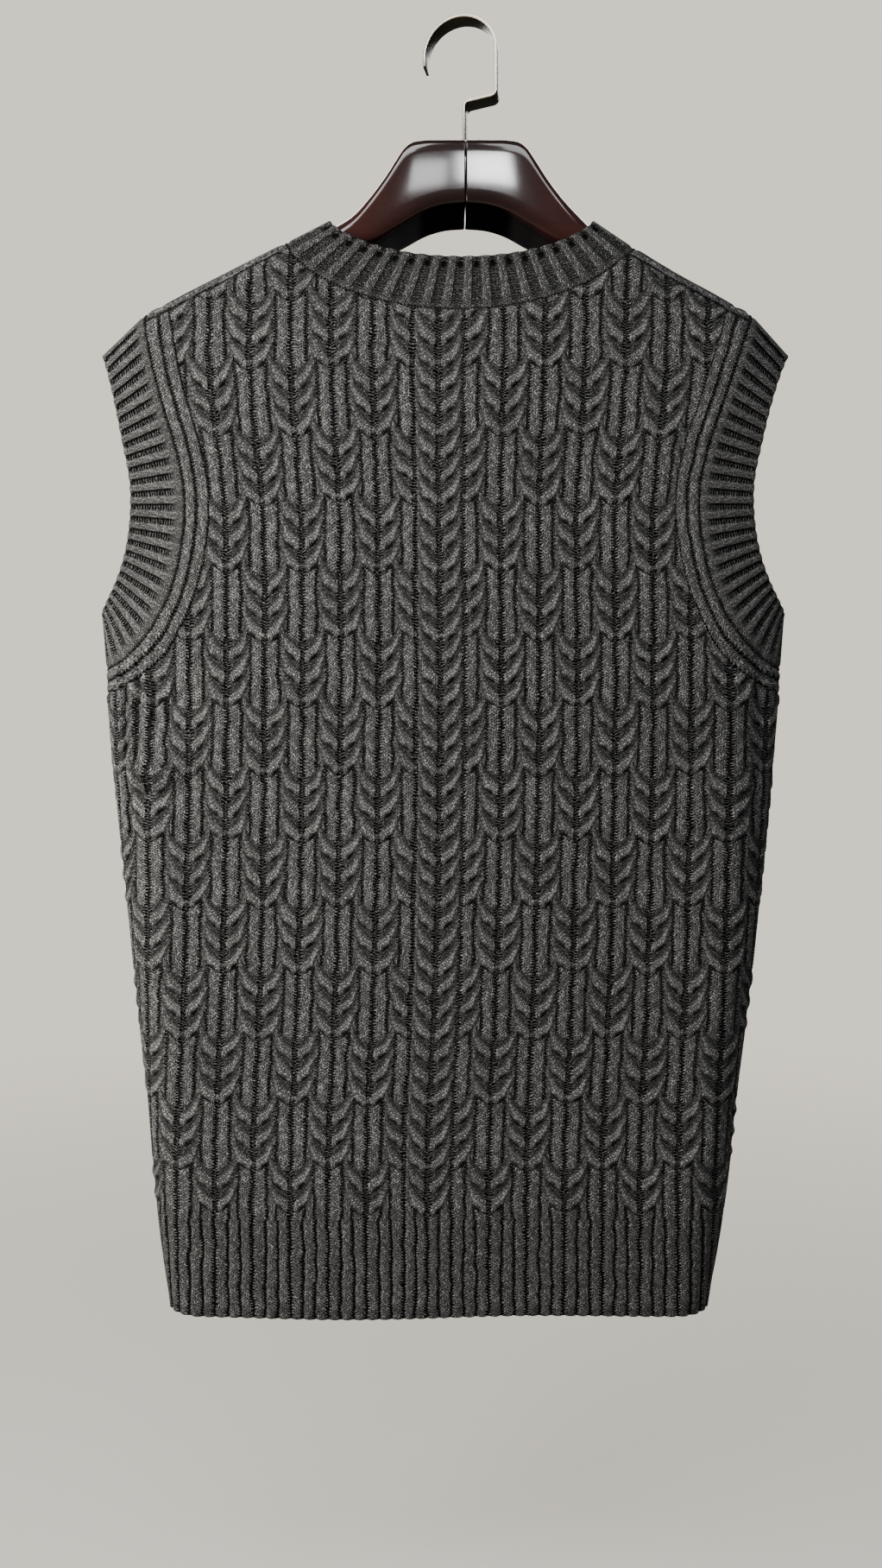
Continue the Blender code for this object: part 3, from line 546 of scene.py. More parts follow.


@dataclass(frozen=True)
class KnitChart:
    """Ribs, sunk ladders, and cables that cross towards every other ladder.

    Across is counted in ribs from the middle ladder, and down in crossings.  Ladders stand
    at 0, 2, 5, 8 and so on.  Between two of them lie a rope, beside the one that carries
    cables at that height, and a plain rib beside the other.
    """

    rib: float = 0.0237 / 3
    inner_rib: float = 0.0145 / 2
    fan: float = 0.0750              # how much the columns spread up to the shoulders
    fan_rows: tuple[float, float] = (-0.3400, -0.2200)
    pitch: float = 0.01391
    top_z: float = -0.2020
    stretch: float = 0.0045          # how far the middle crossings sag
    rows: int = 41
    group: int = 3                   # crossings that lie one below the other
    middle_rows: Table = (                   # z, x of the middle ladder
        (-0.8265, -0.0215), (-0.7040, -0.0205), (-0.6500, -0.0178), (-0.5430, -0.0146),
        (-0.4670, -0.0135), (-0.2300, -0.0146), (-0.1300, -0.0140),
    )
    courses: float = 7.8     # stitches from one crossing to the next
    rope: float = 1.84       # ribs that a rope reaches from its ladder
    inner_rope: float = 0.92 # ribs that one of the narrower ribs in the middle stands for
    climb: float = 0.27      # crossings that a strand climbs in its first rib
    bend: float = 2.00       # power of that climb
    hook: float = 0.34       # crossings that it climbs at its outer end
    drift: float = 0.18      # crossings that the ropes differ by in height
    under: float = 0.26      # how far below its own line a strand's edge lies
    shore: tuple[float, float] = (0.08, 0.32)        # ribs where a strand leaves its ladder
    outer: tuple[float, float] = (0.55, 1.15)        # and where its outer half starts
    bank: float = 1.56                               # and where its end sinks again
    mouth: Table = ((0.50, 0.74), (0.98, 1.46))      # ribs where the painted shadow under it lies
    top: float = 0.66        # how far down its width a strand is highest
    strand_lift: float = 0.0023
    floor_lift: float = 0.0004
    rib_lift: float = 0.0015
    wide_ladder: float = 0.33        # share of a rib that sinks towards a ladder
    side_ladder: float = 0.17        # share of a rib that sinks towards another rib

    def plain(self, ribs: Any) -> np.ndarray:
        """Distance across of a rib count, before the columns spread."""
        size = np.abs(ribs)
        inner = np.minimum(size, 2) * self.inner_rib
        return np.sign(ribs) * (inner + np.maximum(size - 2, 0) * self.rib)

    def middle(self, form: ClothForm, z: Any) -> np.ndarray:
        """s of the middle ladder."""
        return smooth(self.middle_rows, z)[1] - form.centre_x(z)

    def spread(self, z: Any) -> np.ndarray:
        """How far the columns spread at a height."""
        return 1 + self.fan * soft_step(np.asarray(z, float), *self.fan_rows)

    def s_of(self, form: ClothForm, ribs: np.ndarray, z: np.ndarray) -> np.ndarray:
        """s of a rib count at a height."""
        return self.middle(form, z) + self.plain(ribs) * self.spread(z)

    def ribs_of(self, form: ClothForm, s: np.ndarray, z: np.ndarray) -> np.ndarray:
        """Rib count of a place."""
        plain = (s - self.middle(form, z)) / self.spread(z)
        size = np.abs(plain)
        inner = np.minimum(size / self.inner_rib, 2)
        return np.sign(plain) * (inner + np.maximum(size - 2 * self.inner_rib, 0) / self.rib)

    def z_of(self, row: Any) -> np.ndarray:
        """Height of a crossing; a row may lie between two of them."""
        share = np.clip(np.asarray(row, float) / (self.rows - 1), 0, 1)
        return self.top_z - row * self.pitch - self.stretch * 4 * share * (1 - share)

    def row_of(self, z: np.ndarray) -> np.ndarray:
        """Crossing count of a height."""
        row = (self.top_z - z) / self.pitch
        for _ in range(12):
            share = np.clip(row / (self.rows - 1), 0, 1)
            row = (self.top_z - z - self.stretch * 4 * share * (1 - share)) / self.pitch
        return row

    def strand(self, away: Value, ladder: Value, row: Value, middle: Value,
               half: Value) -> tuple[Value, ...]:
        """The crossing strands beside one ladder.

        Args:
            away: Ribs from the ladder.
            ladder: Number of the ladder, from the middle.
            row: Crossings down.
            middle: 1 beside the middle ladder, which carries every crossing.
            half: 1 on the right half of the panel, whose ropes drift otherwise.

        Returns:
            1 where a rope covers the place, its lift, its wales, its painted shadow, its ladder
            and its painted highlight less its painted shade.
        """
        # the strand that lies here, and how far down its width the place is
        near = least(most(away, 0.0), 2.1)
        name = (ladder + half * 7.0) * GOLDEN
        drift = spread_of(name) * self.drift
        climbed = (row + drift + near ** self.bend * self.climb + (1 - self.under)
                   + soft_step(near, 1.10, self.rope + 0.2) * self.hook)
        number = floor_of(climbed)
        phase = climbed - number
        # ropes lie on either side of a ladder in turn, a group of crossings at a time
        block = floor_of(number / self.group)
        count = ladder + block
        odd = count - 2 * floor_of(count / 2)
        lies = most(odd, middle) * (1.0 - above(away, self.rope)) * (
            1.0 - above(number, self.rows - 0.5))
        order = number - self.group * block
        last = above(order, self.group - 1.5)
        strong = spread_of(number * GOLDEN + name * 2.7)

        outer = soft_step(near, *self.outer)
        lift, knot = self.height(near, phase, outer, last)

        # the painted shadow under it, and the painted dark line round the group's top
        thick = between(soft_step(near, 0.60, 1.50), 0.14, 0.09)
        under = soft_step(phase, 1.0 - thick * 2.0, 1.0 - thick * 0.6)
        outline = hill(near, self.rope - 0.05, 0.11) * hill(phase, 0.62, 0.26) * (
            1.0 - above(order, 0.5))
        painted_shadow = most(under * plateau(near, *self.mouth) * (0.85 + strong * 0.3),
                    outline * (0.5 + strong * 0.5))

        # the sunk ladder, drawn in between the knots
        pinned = between(hill(phase, 0.68, 0.24), 0.42, 0.22)
        sunk = soft_fall(near / pinned, 0.70, 1.0) * soft_fall(knot, 0.15, 0.6)

        # the painted highlight along the strand's top, and the painted shade over it
        ridge = hill(phase, between(outer, self.top, 0.58), between(outer, 0.21, 0.30)) * (
            1.0 - soft_step(near, 1.42, 1.80) * 0.75) * soft_step(near, *self.shore)
        shade = soft_fall(phase, 0.06, 0.50) * plateau(near, (0.30, 0.70), (1.20, 1.70))
        return lies, lift, phase, painted_shadow, sunk, ridge * (1.15 + strong * 0.7) - shade * 0.6 - 0.2

    def height(self, near: Value, phase: Value, outer: Value,
               last: Value) -> tuple[Value, Value]:
        """A strand's rounded height, from the knot at its ladder to its outer end.

        Args:
            near: Ribs from the ladder.
            phase: How far down the strand's width the place lies.
            outer: 0 on the strand's inner half and 1 on its outer one.
            last: 1 on the last strand of a group.

        Returns:
            Its lift, and its knot.
        """
        body = (soft_step(phase, 0.0, 0.34) * 0.30 + soft_step(phase, 0.32, 0.70) * 0.70) * (
            soft_fall(phase, 0.78, 1.0))
        bowl = hill(phase, self.top, 0.22)
        shape = between(soft_step(near, 1.05, 1.60) * 0.65, between(outer, bowl, body), 0.70)
        lift = between(shape, between(outer, 0.45, 0.25), 1.0) * self.strand_lift
        knot = hill(phase, self.top, 0.13) * between(last, 0.35, 1.0)
        lift = lift * between(soft_step(near, *self.shore), knot * 0.85, 1.0)
        return lift * between(soft_fall(near, self.bank, self.rope), 0.35, 1.0), knot

    def read(self, across: Value, down: Value, border: Value) -> Knit:
        """What the chart says of a place.

        Args:
            across: Ribs from the middle ladder.
            down: Crossings.
            border: Ribs from the nearest seam that two plain ribs follow.

        Returns:
            The knit there.
        """
        # the ladders on both sides, and the distance from each
        size = size_of(across)
        middle = 1.0 - above(size, 2.0)
        beyond = most(size - 2.0, 0.0)
        cell = floor_of(beyond / 3.0)
        inside_cell = beyond - cell * 3.0
        from_inner = between(middle, inside_cell, size * self.inner_rope)
        from_outer = (3.0 - inside_cell) + middle * 9.0
        ladder = (cell + 1.0) * (1.0 - middle)
        free = above(border, 2.0)

        # the ropes from both ladders, the higher one on top
        half = above(across, 0.0)
        covers, *one = self.strand(from_inner, ladder, down, middle, half * (1.0 - middle))
        covers_too, *two = self.strand(from_outer, ladder + 1.0, down, middle * 0.0, half)
        on_one, on_two = covers * free, covers_too * free
        over = above(one[0] * on_one - two[0] * on_two, 0.0)
        on = most(on_one, on_two)
        rope_lift, phase, rope_painted_shadow, rope_sunk, rope_painted_light = (
            between(over, second, first) for first, second in zip(one, two))

        # the plain ribs, which even out over the hem and follow the seams
        side = 3.0 - self.rope
        even = least(inside_cell / side, 1.0) + most(
            least((inside_cell - side) / (3.0 - 2 * side), 1.0), 0.0) + most(
            (inside_cell - self.rope) / side, 0.0)
        hem = above(down, self.rows - 0.5)
        hemmed = most(hem, middle)
        column = between(free, border, between(hemmed, even, between(middle, inside_cell, size)))
        in_rib = column - floor_of(column)
        gap = least(in_rib, 1.0 - in_rib)
        wide = 1.0 - above(least(from_inner, from_outer) + (1.0 - free) * 9.0, 0.55)
        crest = 1.0 - (size_of(in_rib - 0.5) * 2.0) ** 4.0
        lift = most(between(on, crest * self.rib_lift, rope_lift), self.floor_lift)

        # the yarn's own run, along a strand or down a rib
        away = between(over, from_outer, from_inner)
        slanted = on * above(away, 0.33)
        wale = between(slanted, column * 3.0, phase * 5.0)
        course = between(slanted, down * self.courses, away * 6.0)
        # what is sunk, and where painted shade and painted highlights lie
        edge = between(wide, self.side_ladder, self.wide_ladder * 0.8)
        between_ribs = soft_fall(gap / edge, 0.60, 1.0)
        shore = soft_fall((self.rope - away) / self.side_ladder, 0.5, 1.0)
        sunk = between(on, between_ribs, most(rope_sunk, shore))
        # dark lines between the ribs, painted as shade
        line = soft_fall(gap, 0.03, 0.10) * between(hem, (1.0 - on) * 0.55, 1.0)
        painted_shadow = most(rope_painted_shadow * on, line)
        # painted highlight down the middle of each plain rib, and along one side of each hem rib
        plain = between(hem, hill(gap, 0.5, 0.34) * 0.5, hill(in_rib, 0.86, 0.08) * 0.8)
        top = between(on, plain, rope_painted_light)
        offset = between(middle, above(in_rib, 0.5), half)
        rung = down * self.courses + offset * 0.5 + gap * 1.2
        return Knit(lift, wale, course, sunk, rung, painted_shadow, top)


@dataclass(frozen=True)
class RibChart:
    """Rib of a band: across is counted in ribs round it, and down in stitches from its foot."""

    wales: float = 3.0       # knit columns in each rib
    knit: float = 0.56       # share of the rib that they take
    rib_lift: float = 0.0014
    purl: float = 0.55       # how dark the gutters between the ribs are painted, as shade
    line: float = 0.0        # 1 where a sharp painted shadow line runs along a gutter's upper side
    eyelet: float = 0.0      # 1 where a gutter ends in an eyelet
    eyelet_at: float = 0.87
    painted_rib_light: float = 0.1        # how much painted highlight the ribs get; the gutters get 0.30 less, as painted shade
    scallop: float = 0.0005
    calm: tuple[float, float] = (0.10, 0.30)     # shares of the height without gutters

    def read(self, across: Value, down: Value, share: Value) -> Knit:
        """What the chart says of a place.

        Args:
            across: Ribs round the band.
            down: Stitches from the foot.
            share: 0 at the foot and 1 at the free edge.

        Returns:
            The knit there.
        """
        in_rib = across - floor_of(across)
        away = size_of(in_rib - 0.5)
        half = self.knit / 2
        drawn = plateau(share, self.calm, (0.93, 0.99))
        gutter = soft_step(away, half - 0.03, half + 0.05)
        hollow = soft_step(away, half - 0.08, half + 0.10) * between(drawn, 0.25, 1.0)
        lift = (1.0 - hollow) * self.rib_lift
        line = hill(in_rib, 0.5 - half - 0.06, 0.055) * drawn * self.line
        teeth = soft_step(in_rib, 0.0, 0.5 - half) * gutter * self.line
        comb = between(above(in_rib, 0.5), teeth, 0.0)
        gap = 0.5 - away
        mouth = most(1.0 - ((gap / 0.20) ** 2.0 + ((share - self.eyelet_at) / 0.075) ** 2.0),
                     0.0) * self.eyelet
        notch = most(1.0 - ((gap / 0.16) ** 2.0 + ((share - 0.99) / 0.05) ** 2.0), 0.0)
        wale = (in_rib - 0.5 + half) * (self.wales / self.knit)
        rung = down + gap * 0.8
        ladder = most(gutter * drawn * self.purl, comb * drawn)
        # painted shadow along the gutter lines, in the eyelets and in the notches at the edge
        painted_shadow = most(line, most(soft_step(mouth, 0.0, 0.5), notch))
        # painted highlight on the ribs, and painted shade in the gutters
        crest = between(gutter, self.painted_rib_light, self.painted_rib_light - 0.30)
        return Knit(lift - mouth * 0.0010, wale, down, ladder, rung, painted_shadow, crest)


FORM = ClothForm()
CHART = KnitChart()


# --- finishes ----------------------------------------------------------------------------
@dataclass(frozen=True)
class Finish:
    """A material that is built from nodes."""

    name: str

    def make(self) -> bpy.types.Material:
        """Build the material."""
        material = bpy.data.materials.new(self.name)
        self.dress(Bench(material))
        return material

    def dress(self, bench: Bench) -> None:
        """Add its nodes and set its shader."""
        raise NotImplementedError


@dataclass(frozen=True)
class YarnFinish(Finish):
    """Heathered charcoal wool, knitted from a panel's chart."""

    dark: Colour = (0.024, 0.024, 0.024)
    middle: Colour = (0.100, 0.100, 0.100)
    light: Colour = (0.320, 0.320, 0.317)
    # painted shade: the colour of the gaps between yarns, low places, holes and shadows
    shaded_hole: Colour = (0.0010, 0.0010, 0.0010)
    roughness: float = 0.95
    sheen: float = 0.02
    sway: float = 0.5        # ribs that the columns wander by
    slip: float = 0.4        # crossings that the rows wander by
    hair: float = 0.00015    # height of the loose fibres
    knot: float = 0.00030    # and of the yarn's uneven spots
    stitch: float = 0.00050
    pit: float = 0.0010

    def stitches(self, bench: Bench, knit: Knit, wobble: Wire) -> tuple[Wire, Wire, Wire]:
        """The yarn of each stitch.

        Args:
            bench: The node maker.
            knit: The chart's reading.
            wobble: Stitches that each place is out of line by.

        Returns:
            Height of the stitches, depth of the holes between them, which are also painted as
            shade, and the yarn's random tone.
        """
        leg = size_of(spread_of(knit.wale)) * 2.0
        slope = knit.course + leg * 0.9 + wobble
        turn = slope - floor_of(slope)
        yarn = sine(turn * math.pi) ** 0.7
        leg_round = sine(least(leg, 1.0) * math.pi) ** 0.6
        side = above(spread_of(knit.wale), 0.0)
        bars = soft_fall(size_of(spread_of(knit.rung + wobble)), 0.12, 0.28)
        height = between(knit.ladder, yarn * between(0.55, leg_round, 1.0), bars)
        shaded_hole = knit.ladder * (1.0 - bars)
        which = bench.vector(floor_of(knit.wale), floor_of(slope), side)
        return height, shaded_hole, bench.grain(which)

    def read(self, bench: Bench) -> tuple[Knit, Wire]:
        """The chart's reading at each place, and the place itself in metres."""
        across, down = bench.chart_place()
        place = bench.vector(across * CHART.rib, down * CHART.pitch)
        sway = (bench.noise(place, 75.0, 2.0) - 0.5) * self.sway
        slip = (bench.noise(place, 58.0, 2.0) - 0.5) * self.slip
        knit = CHART.read(across + sway, down + slip, bench.attribute("border") + sway * 0.6)
        return knit, place

    def dress(self, bench: Bench) -> None:
        """Colour, roughness and bump of knitted cloth."""
        knit, place = self.read(bench)
        fibre = bench.noise(place, 1200.0, 2.0)
        speckle = bench.noise(place, 420.0, 1.0)
        cloud = bench.noise(place, 60.0, 2.0)
        height, shaded_hole, shade = self.stitches(bench, knit, (speckle - 0.5) * 1.4)
        inside = bench.attribute("inside")
        # each stitch, fibre and patch has its own share of light wool, and the chart adds
        # painted highlights and painted shade on the strands and ribs
        heather = (0.49 + (shade - 0.5) * 0.42 + (fibre - 0.5) * 1.2 + knit.ladder * 0.18
                   + (cloud - 0.5) * 0.2 + knit.crest * 0.20)
        colour = bench.mix(soft_step(heather, 0.05, 0.50), self.dark, self.middle)
        colour = bench.mix(soft_step(heather, 0.50, 0.95), colour, self.light)
        # painted shade where the cloth lies deep: between the yarns, in the gutters, and in
        # holes
        painted_gap_shade = soft_fall(height + (fibre - 0.5) * 0.8, 0.20, 0.95)
        colour = bench.mix(painted_gap_shade * 0.92, colour, self.shaded_hole)
        # painted shade where the chart's lift is low, and in the ladders
        low = soft_fall(knit.lift, 0.0004, 0.0016) * (1.0 - inside)
        colour = bench.mix(least(low * 0.50 + knit.ladder * 0.10, 1.0), colour, self.shaded_hole)
        # painted shade in the holes and painted shadow under the strands, both also sunk in the
        # bump
        pit = least(shaded_hole + knit.painted_shadow, 1.0) * (1.0 - inside)
        colour = bench.mix(pit * 0.95, colour, self.shaded_hole)
        raised = (height * self.stitch - pit * self.pit + fibre * self.hair
                  + speckle * self.knot
                  + (knit.lift - bench.attribute("lift")) * (1.0 - inside))
        bench.finish(Base_Color=colour, Roughness=self.roughness, Sheen_Weight=self.sheen,
                     Sheen_Roughness=0.5, Specular_IOR_Level=0.04,
                     Normal=bench.bump(raised, 1.0))


@dataclass(frozen=True)
class BandFinish(YarnFinish):
    """The same wool, knitted from a band's chart."""

    chart: RibChart = RibChart()
    rib: float = 0.0098
    course: float = 0.00178

    def read(self, bench: Bench) -> tuple[Knit, Wire]:
        """The chart's reading at each place, and the place itself in metres."""
        across, down = bench.chart_place()
        knit = self.chart.read(across, down, bench.attribute("share"))
        return knit, bench.vector(across * self.rib, down * self.course)


@dataclass(frozen=True)
class ThreadFinish(Finish):
    """Heathered wool of the linking stitches."""

    dark: Colour = (0.004, 0.004, 0.004)
    light: Colour = (0.045, 0.045, 0.045)

    def dress(self, bench: Bench) -> None:
        """Colour, roughness and bump."""
        place = bench.place()
        fibre = bench.noise(place, 1600.0, 2.0)
        patch = bench.noise(place, 300.0, 1.0)
        heather = soft_step((fibre - 0.5) * 1.8 + (patch - 0.5) * 1.2 + 0.5, 0.2, 0.9)
        colour = bench.mix(heather, self.dark, self.light)
        bench.finish(Base_Color=colour, Roughness=0.95, Specular_IOR_Level=0.04,
                     Normal=bench.bump(fibre * 0.00015, 1.0))


@dataclass(frozen=True)
class LacquerFinish(Finish):
    """Dark mahogany lacquer with orange peel, and painted shade on the faces that turn down."""

    dark: Colour = (0.010, 0.004, 0.003)
    red: Colour = (0.034, 0.008, 0.006)
    joint_x: float = 0.0026      # where the two halves meet, and where the coat is darkest
    roughness: float = 0.40
    coat_roughness: float = 0.085

    def dress(self, bench: Bench) -> None:
        """Colour, roughness and bump."""
        place = bench.place()
        out = size_of(bench.parts(place)[0] - self.joint_x)
        grain = bench.noise(bench.stretched(place, (14.0, 90.0, 90.0)), 3.0, 4.0)
        red = soft_step(out + grain * 0.05, 0.035, 0.115)
        colour = bench.mix(red, self.dark, self.red)
        # painted shade: faces that turn down are black, without the coat and its reflections
        under = bench.attribute("under")
        colour = bench.mix(under, colour, (0.0, 0.0, 0.0))
        peel = bench.noise(place, 260.0, 2.0)
        ripple = bench.noise(place, 60.0, 1.0)
        brushed = bench.noise(bench.stretched(place, (0.5, 1.0, 1.3)), 420.0, 3.0)
        height = peel * 0.00003 + ripple * 0.00010 + brushed * 0.00004
        rough = self.roughness + bench.noise(place, 900.0) * 0.1
        bench.finish(Base_Color=colour, Roughness=rough + under * 0.4, Metallic=under,
                     Coat_Weight=1.0 - under, Coat_Roughness=self.coat_roughness,
                     Specular_IOR_Level=0.04, Normal=bench.bump(height, 1.0))


@dataclass(frozen=True)
class MetalFinish(Finish):
    """Flat plated strip: broad faces painted dark as shade, and edges that face along Y painted
    bright as highlights.
    """

    # painted shade of the broad faces, and painted highlight of the edges
    face: Colour = (0.050, 0.044, 0.028)
    edge: Colour = (0.52, 0.47, 0.37)

    def dress(self, bench: Bench) -> None:
        """Colour, roughness and bump."""
        sideways = size_of(bench.parts(bench.place("Normal"))[1])
        scratch = bench.noise(bench.stretched(bench.place(), (1.0, 14.0, 1.0)), 500.0, 3.0)
        # painted highlight on the faces that look along Y, its border broken by scratches
        painted_edge_light = soft_step(sideways + scratch * 0.25, 0.55, 0.80)
        colour = bench.mix(painted_edge_light, self.face, self.edge)
        rough = 0.26 + scratch * 0.22
        bench.finish(Base_Color=colour, Metallic=1.0, Roughness=rough,
                     Normal=bench.bump(scratch * 0.00003, 1.0))


# --- meshes ------------------------------------------------------------------------------
def deselect() -> None:
    """Leave nothing selected, in object mode."""
    if bpy.context.object and bpy.context.object.mode != "OBJECT":
        bpy.ops.object.mode_set(mode="OBJECT")
    bpy.ops.object.select_all(action="DESELECT")


def new_piece(name: str, points: np.ndarray,
              faces: Iterable[Sequence[int]]) -> bpy.types.Object:
    """A smooth object from points and faces that point outwards."""
    mesh = bpy.data.meshes.new(name)
    mesh.from_pydata(points.tolist(), [], [list(map(int, face)) for face in faces])
    mesh.shade_smooth()
    made = bpy.data.objects.new(name, mesh)
    bpy.context.scene.collection.objects.link(made)
    return made


def face_outwards() -> None:
    """Turn every face of the edited mesh outwards, and leave edit mode."""
    bpy.ops.mesh.select_all(action="SELECT")
    bpy.ops.mesh.normals_make_consistent(inside=False)
    bpy.ops.object.mode_set(mode="OBJECT")


def cloth_mesh(name: str, points: np.ndarray, faces: Iterable[Sequence[int]],
               chart: np.ndarray, marks: dict[str, np.ndarray]) -> bpy.types.Object:
    """A smooth mesh with its chart places and marks.

    Args:
        name: Name of the piece.
        points: Its points.
        faces: Its faces, pointing outwards.
        chart: Across and down for each point, or for each corner of each face.
        marks: Numbers for each point, by name.

    Returns:
        The object.
    """
    made = new_piece(name, points, faces)
    mesh = made.data
    corners = np.empty(len(mesh.loops), np.int32)
    mesh.loops.foreach_get("vertex_index", corners)
    layer = mesh.uv_layers.new(name=CHART_MAP)
    held = chart[corners] if len(chart) == len(points) else chart
    layer.data.foreach_set("uv", held.astype(np.float32).ravel())
    for mark, values in marks.items():
        held = mesh.attributes.new(mark, "FLOAT", "POINT")
        held.data.foreach_set("value", values.astype(np.float32))
    return made


def hand_over(piece: bpy.types.Object, finish: Finish, slot: str, *nodes: str) -> None:
    """Give a piece its finish, and let it ride on the body and stand for its nodes."""
    piece.data.materials.append(finish.make())
    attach(piece, BODY)
    if nodes:
        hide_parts(*nodes)
    LOG.info("%s: %d faces", piece.name, len(piece.data.polygons))


def lay_out(piece: bpy.types.Object,
            area: float) -> None:
    """Say the flat area of a piece's cloth."""
    LOG.info("%s: flat area %.4f", piece.name, area)


@dataclass(frozen=True)
class Cut:
    """The flat plan of a panel, in (s, w) places."""

    outline: np.ndarray                  # closed, hem first
    hem_count: int                       # how many of its places belong to the hem
    seams: Sequence[np.ndarray]          # where it is linked to its neighbours
    followed: Sequence[np.ndarray]       # the seams that two plain ribs follow


@dataclass
class Panel:
    """One knitted panel: cables outside, plain inside."""

    name: str
    node: str
    face: Face
    flat: tuple[float, float]
    form: ClothForm = FORM
    chart: KnitChart = CHART
    per_rib: int = 5
    per_row: int = 7
    hem_rows: float = 40.7          # below here only ribs run, in longer steps
    hem_step: float = 0.34
    reach_ribs: int = 34
    reach_rows: tuple[int, int] = (-9, 46)
    edge_step: float = 0.0019
    clear: float = 0.0009
    inner_step: float = 0.0110
    seam_fade: float = 0.0035
    seam_lift: float = 0.15         # share of the lift that stands right at a seam
    rim_share: float = 0.45         # share of the wall where the rim's middle lies
    arm_steps: int = 10             # outline points for each rib of an armhole band
    neck_steps: int = 7
    plain_reach: float = 0.27
    plain_top: float = -0.08
    hem_roll: float = 0.0011
    hem_scallop: float = 0.0007

    def hem(self, limit: float) -> np.ndarray:
        """Plan of the hem's edge between two side seams, with a bump at each rib."""
        form = self.form
        ribs = np.arange(-self.reach_ribs, self.reach_ribs, 1 / self.per_rib)
        s = self.chart.s_of(form, ribs, np.full(len(ribs), form.hem_z))
        s = np.concatenate([[-limit], s[np.abs(s) < limit - self.clear], [limit]])
        short, long = form.hem_wave_reach
        at = self.chart.ribs_of(form, s, np.full(len(s), form.hem_z))
        bumps = np.abs(np.sin(at * math.pi)) * self.hem_scallop
        return np.column_stack([s, form.hem_z - bumps + form.hem_wave
                                * np.sin(s / short) * np.cos(s / long)])

    def cut(self) -> Cut:
        """Plan of the panel, from its hem up both sides to the neck."""
        form, face, gap = self.form, self.face, self.form.seam_gap / 2
        hem = self.hem(float(form.side_reach(form.hem_z)) - gap)
        z = np.arange(form.hem_z, form.underarm_z, self.edge_step)[1:]
        side = np.column_stack([form.side_reach(z) - gap, z])
        other_side = side * (-1, 1)
        arms = {}
        for way in (-1, 1):
            near, far = form.arm_seam(way, self.arm_steps)
            half = near if face is Face.BACK else far[::-1]
            half = form.plan(half[:, 0], half[:, 1], face)
            half[0] = (way * (float(form.side_reach(form.underarm_z)) - gap), form.underarm_z)
            half[-1, 1] -= gap
            arms[way] = half
        near, far = form.neck_seam(self.neck_steps)
        neck = near if face is Face.BACK else far[::-1]
        neck = form.plan(neck[:, 0], neck[:, 1], face)
        neck[[0, -1], 1] -= gap
        shoulders = []
        for start, end in ((arms[1][-1, 0], neck[-1, 0]), (neck[0, 0], arms[-1][-1, 0])):
            count = int(abs(end - start) / self.edge_step)
            s = np.linspace(start, end, count + 1)[1:-1]
            v = form.seam_v - face.value * gap
            shoulders.append(form.plan(s, np.full(len(s), v), face))
        rows = (hem, side, arms[1], shoulders[0], neck[::-1], shoulders[1],
                arms[-1][::-1], other_side[::-1])
        seams = [side, other_side, *arms.values(), neck, *shoulders]
        followed = [*arms.values(), *(shoulders if face is Face.FRONT else ())]
        return Cut(np.vstack(rows), len(hem), [seam for seam in seams if len(seam) > 1],
                   followed)

    def knit_places(self, outline: np.ndarray) -> np.ndarray:
        """Plan places of the raised outside, on the chart's own columns and rows."""
        first, last = self.reach_rows
        rows = np.concatenate([np.arange(first, self.hem_rows, 1 / self.per_row),
                               np.arange(self.hem_rows, last, self.hem_step)])
        ribs = np.arange(-self.reach_ribs, self.reach_ribs, 1 / self.per_rib)
        row_grid, rib_grid = (grid.ravel() for grid in np.meshgrid(rows, ribs, indexing="ij"))
        z = self.chart.z_of(row_grid)
        return self.kept(outline, np.column_stack([self.chart.s_of(self.form, rib_grid, z), z]),
                         self.clear)

    def plain_places(self, outline: np.ndarray) -> np.ndarray:
        """Plan places of the plain inside."""
        s = np.arange(-self.plain_reach, self.plain_reach, self.inner_step)
        w = np.arange(self.form.hem_z, self.plain_top, self.inner_step)
        w_grid, s_grid = (grid.ravel() for grid in np.meshgrid(w, s, indexing="ij"))
        return self.kept(outline, np.column_stack([s_grid, w_grid]), self.inner_step / 2)

    @staticmethod
    def kept(outline: np.ndarray, places: np.ndarray, clear: float) -> np.ndarray:
        """Places that lie within the outline and clear of it."""
        places = places[within(outline, places)]
        closed = np.vstack([outline, outline[:1]])
        return places[distance_to(closed, places) > clear]

    @staticmethod
    def triangles(outline: np.ndarray, places: np.ndarray) -> np.ndarray:
        """Triangles over an outline and the places inside it."""
        points = [Vector(row) for row in np.vstack([outline, places])]
        plan = delaunay_2d_cdt(points, [], [list(range(len(outline)))], 1, 1e-7)
        source = [origin[0] for origin in plan[3]]
        return np.asarray([[source[corner] for corner in face] for face in plan[2]])

    def faces(self, outline: np.ndarray, knit: np.ndarray,
              plain: np.ndarray) -> list[np.ndarray]:
        """Faces of the outside, the rim and the inside, for points in that order."""
        facing = -1 if self.face is Face.FRONT else 1
        count = len(outline)
        start, last = count + len(knit), 2 * count + len(knit)
        ring = np.arange(count)
        after = np.roll(ring, -1)
        rims = [np.column_stack(quad)[:, ::-facing] for quad in (
            (ring, after, after + start, ring + start),
            (ring + start, after + start, after + last, ring + last))]
        return [*self.triangles(outline, knit)[:, ::facing], *rims[0], *rims[1],
                *(self.triangles(outline, plain)[:, ::-facing] + last)]

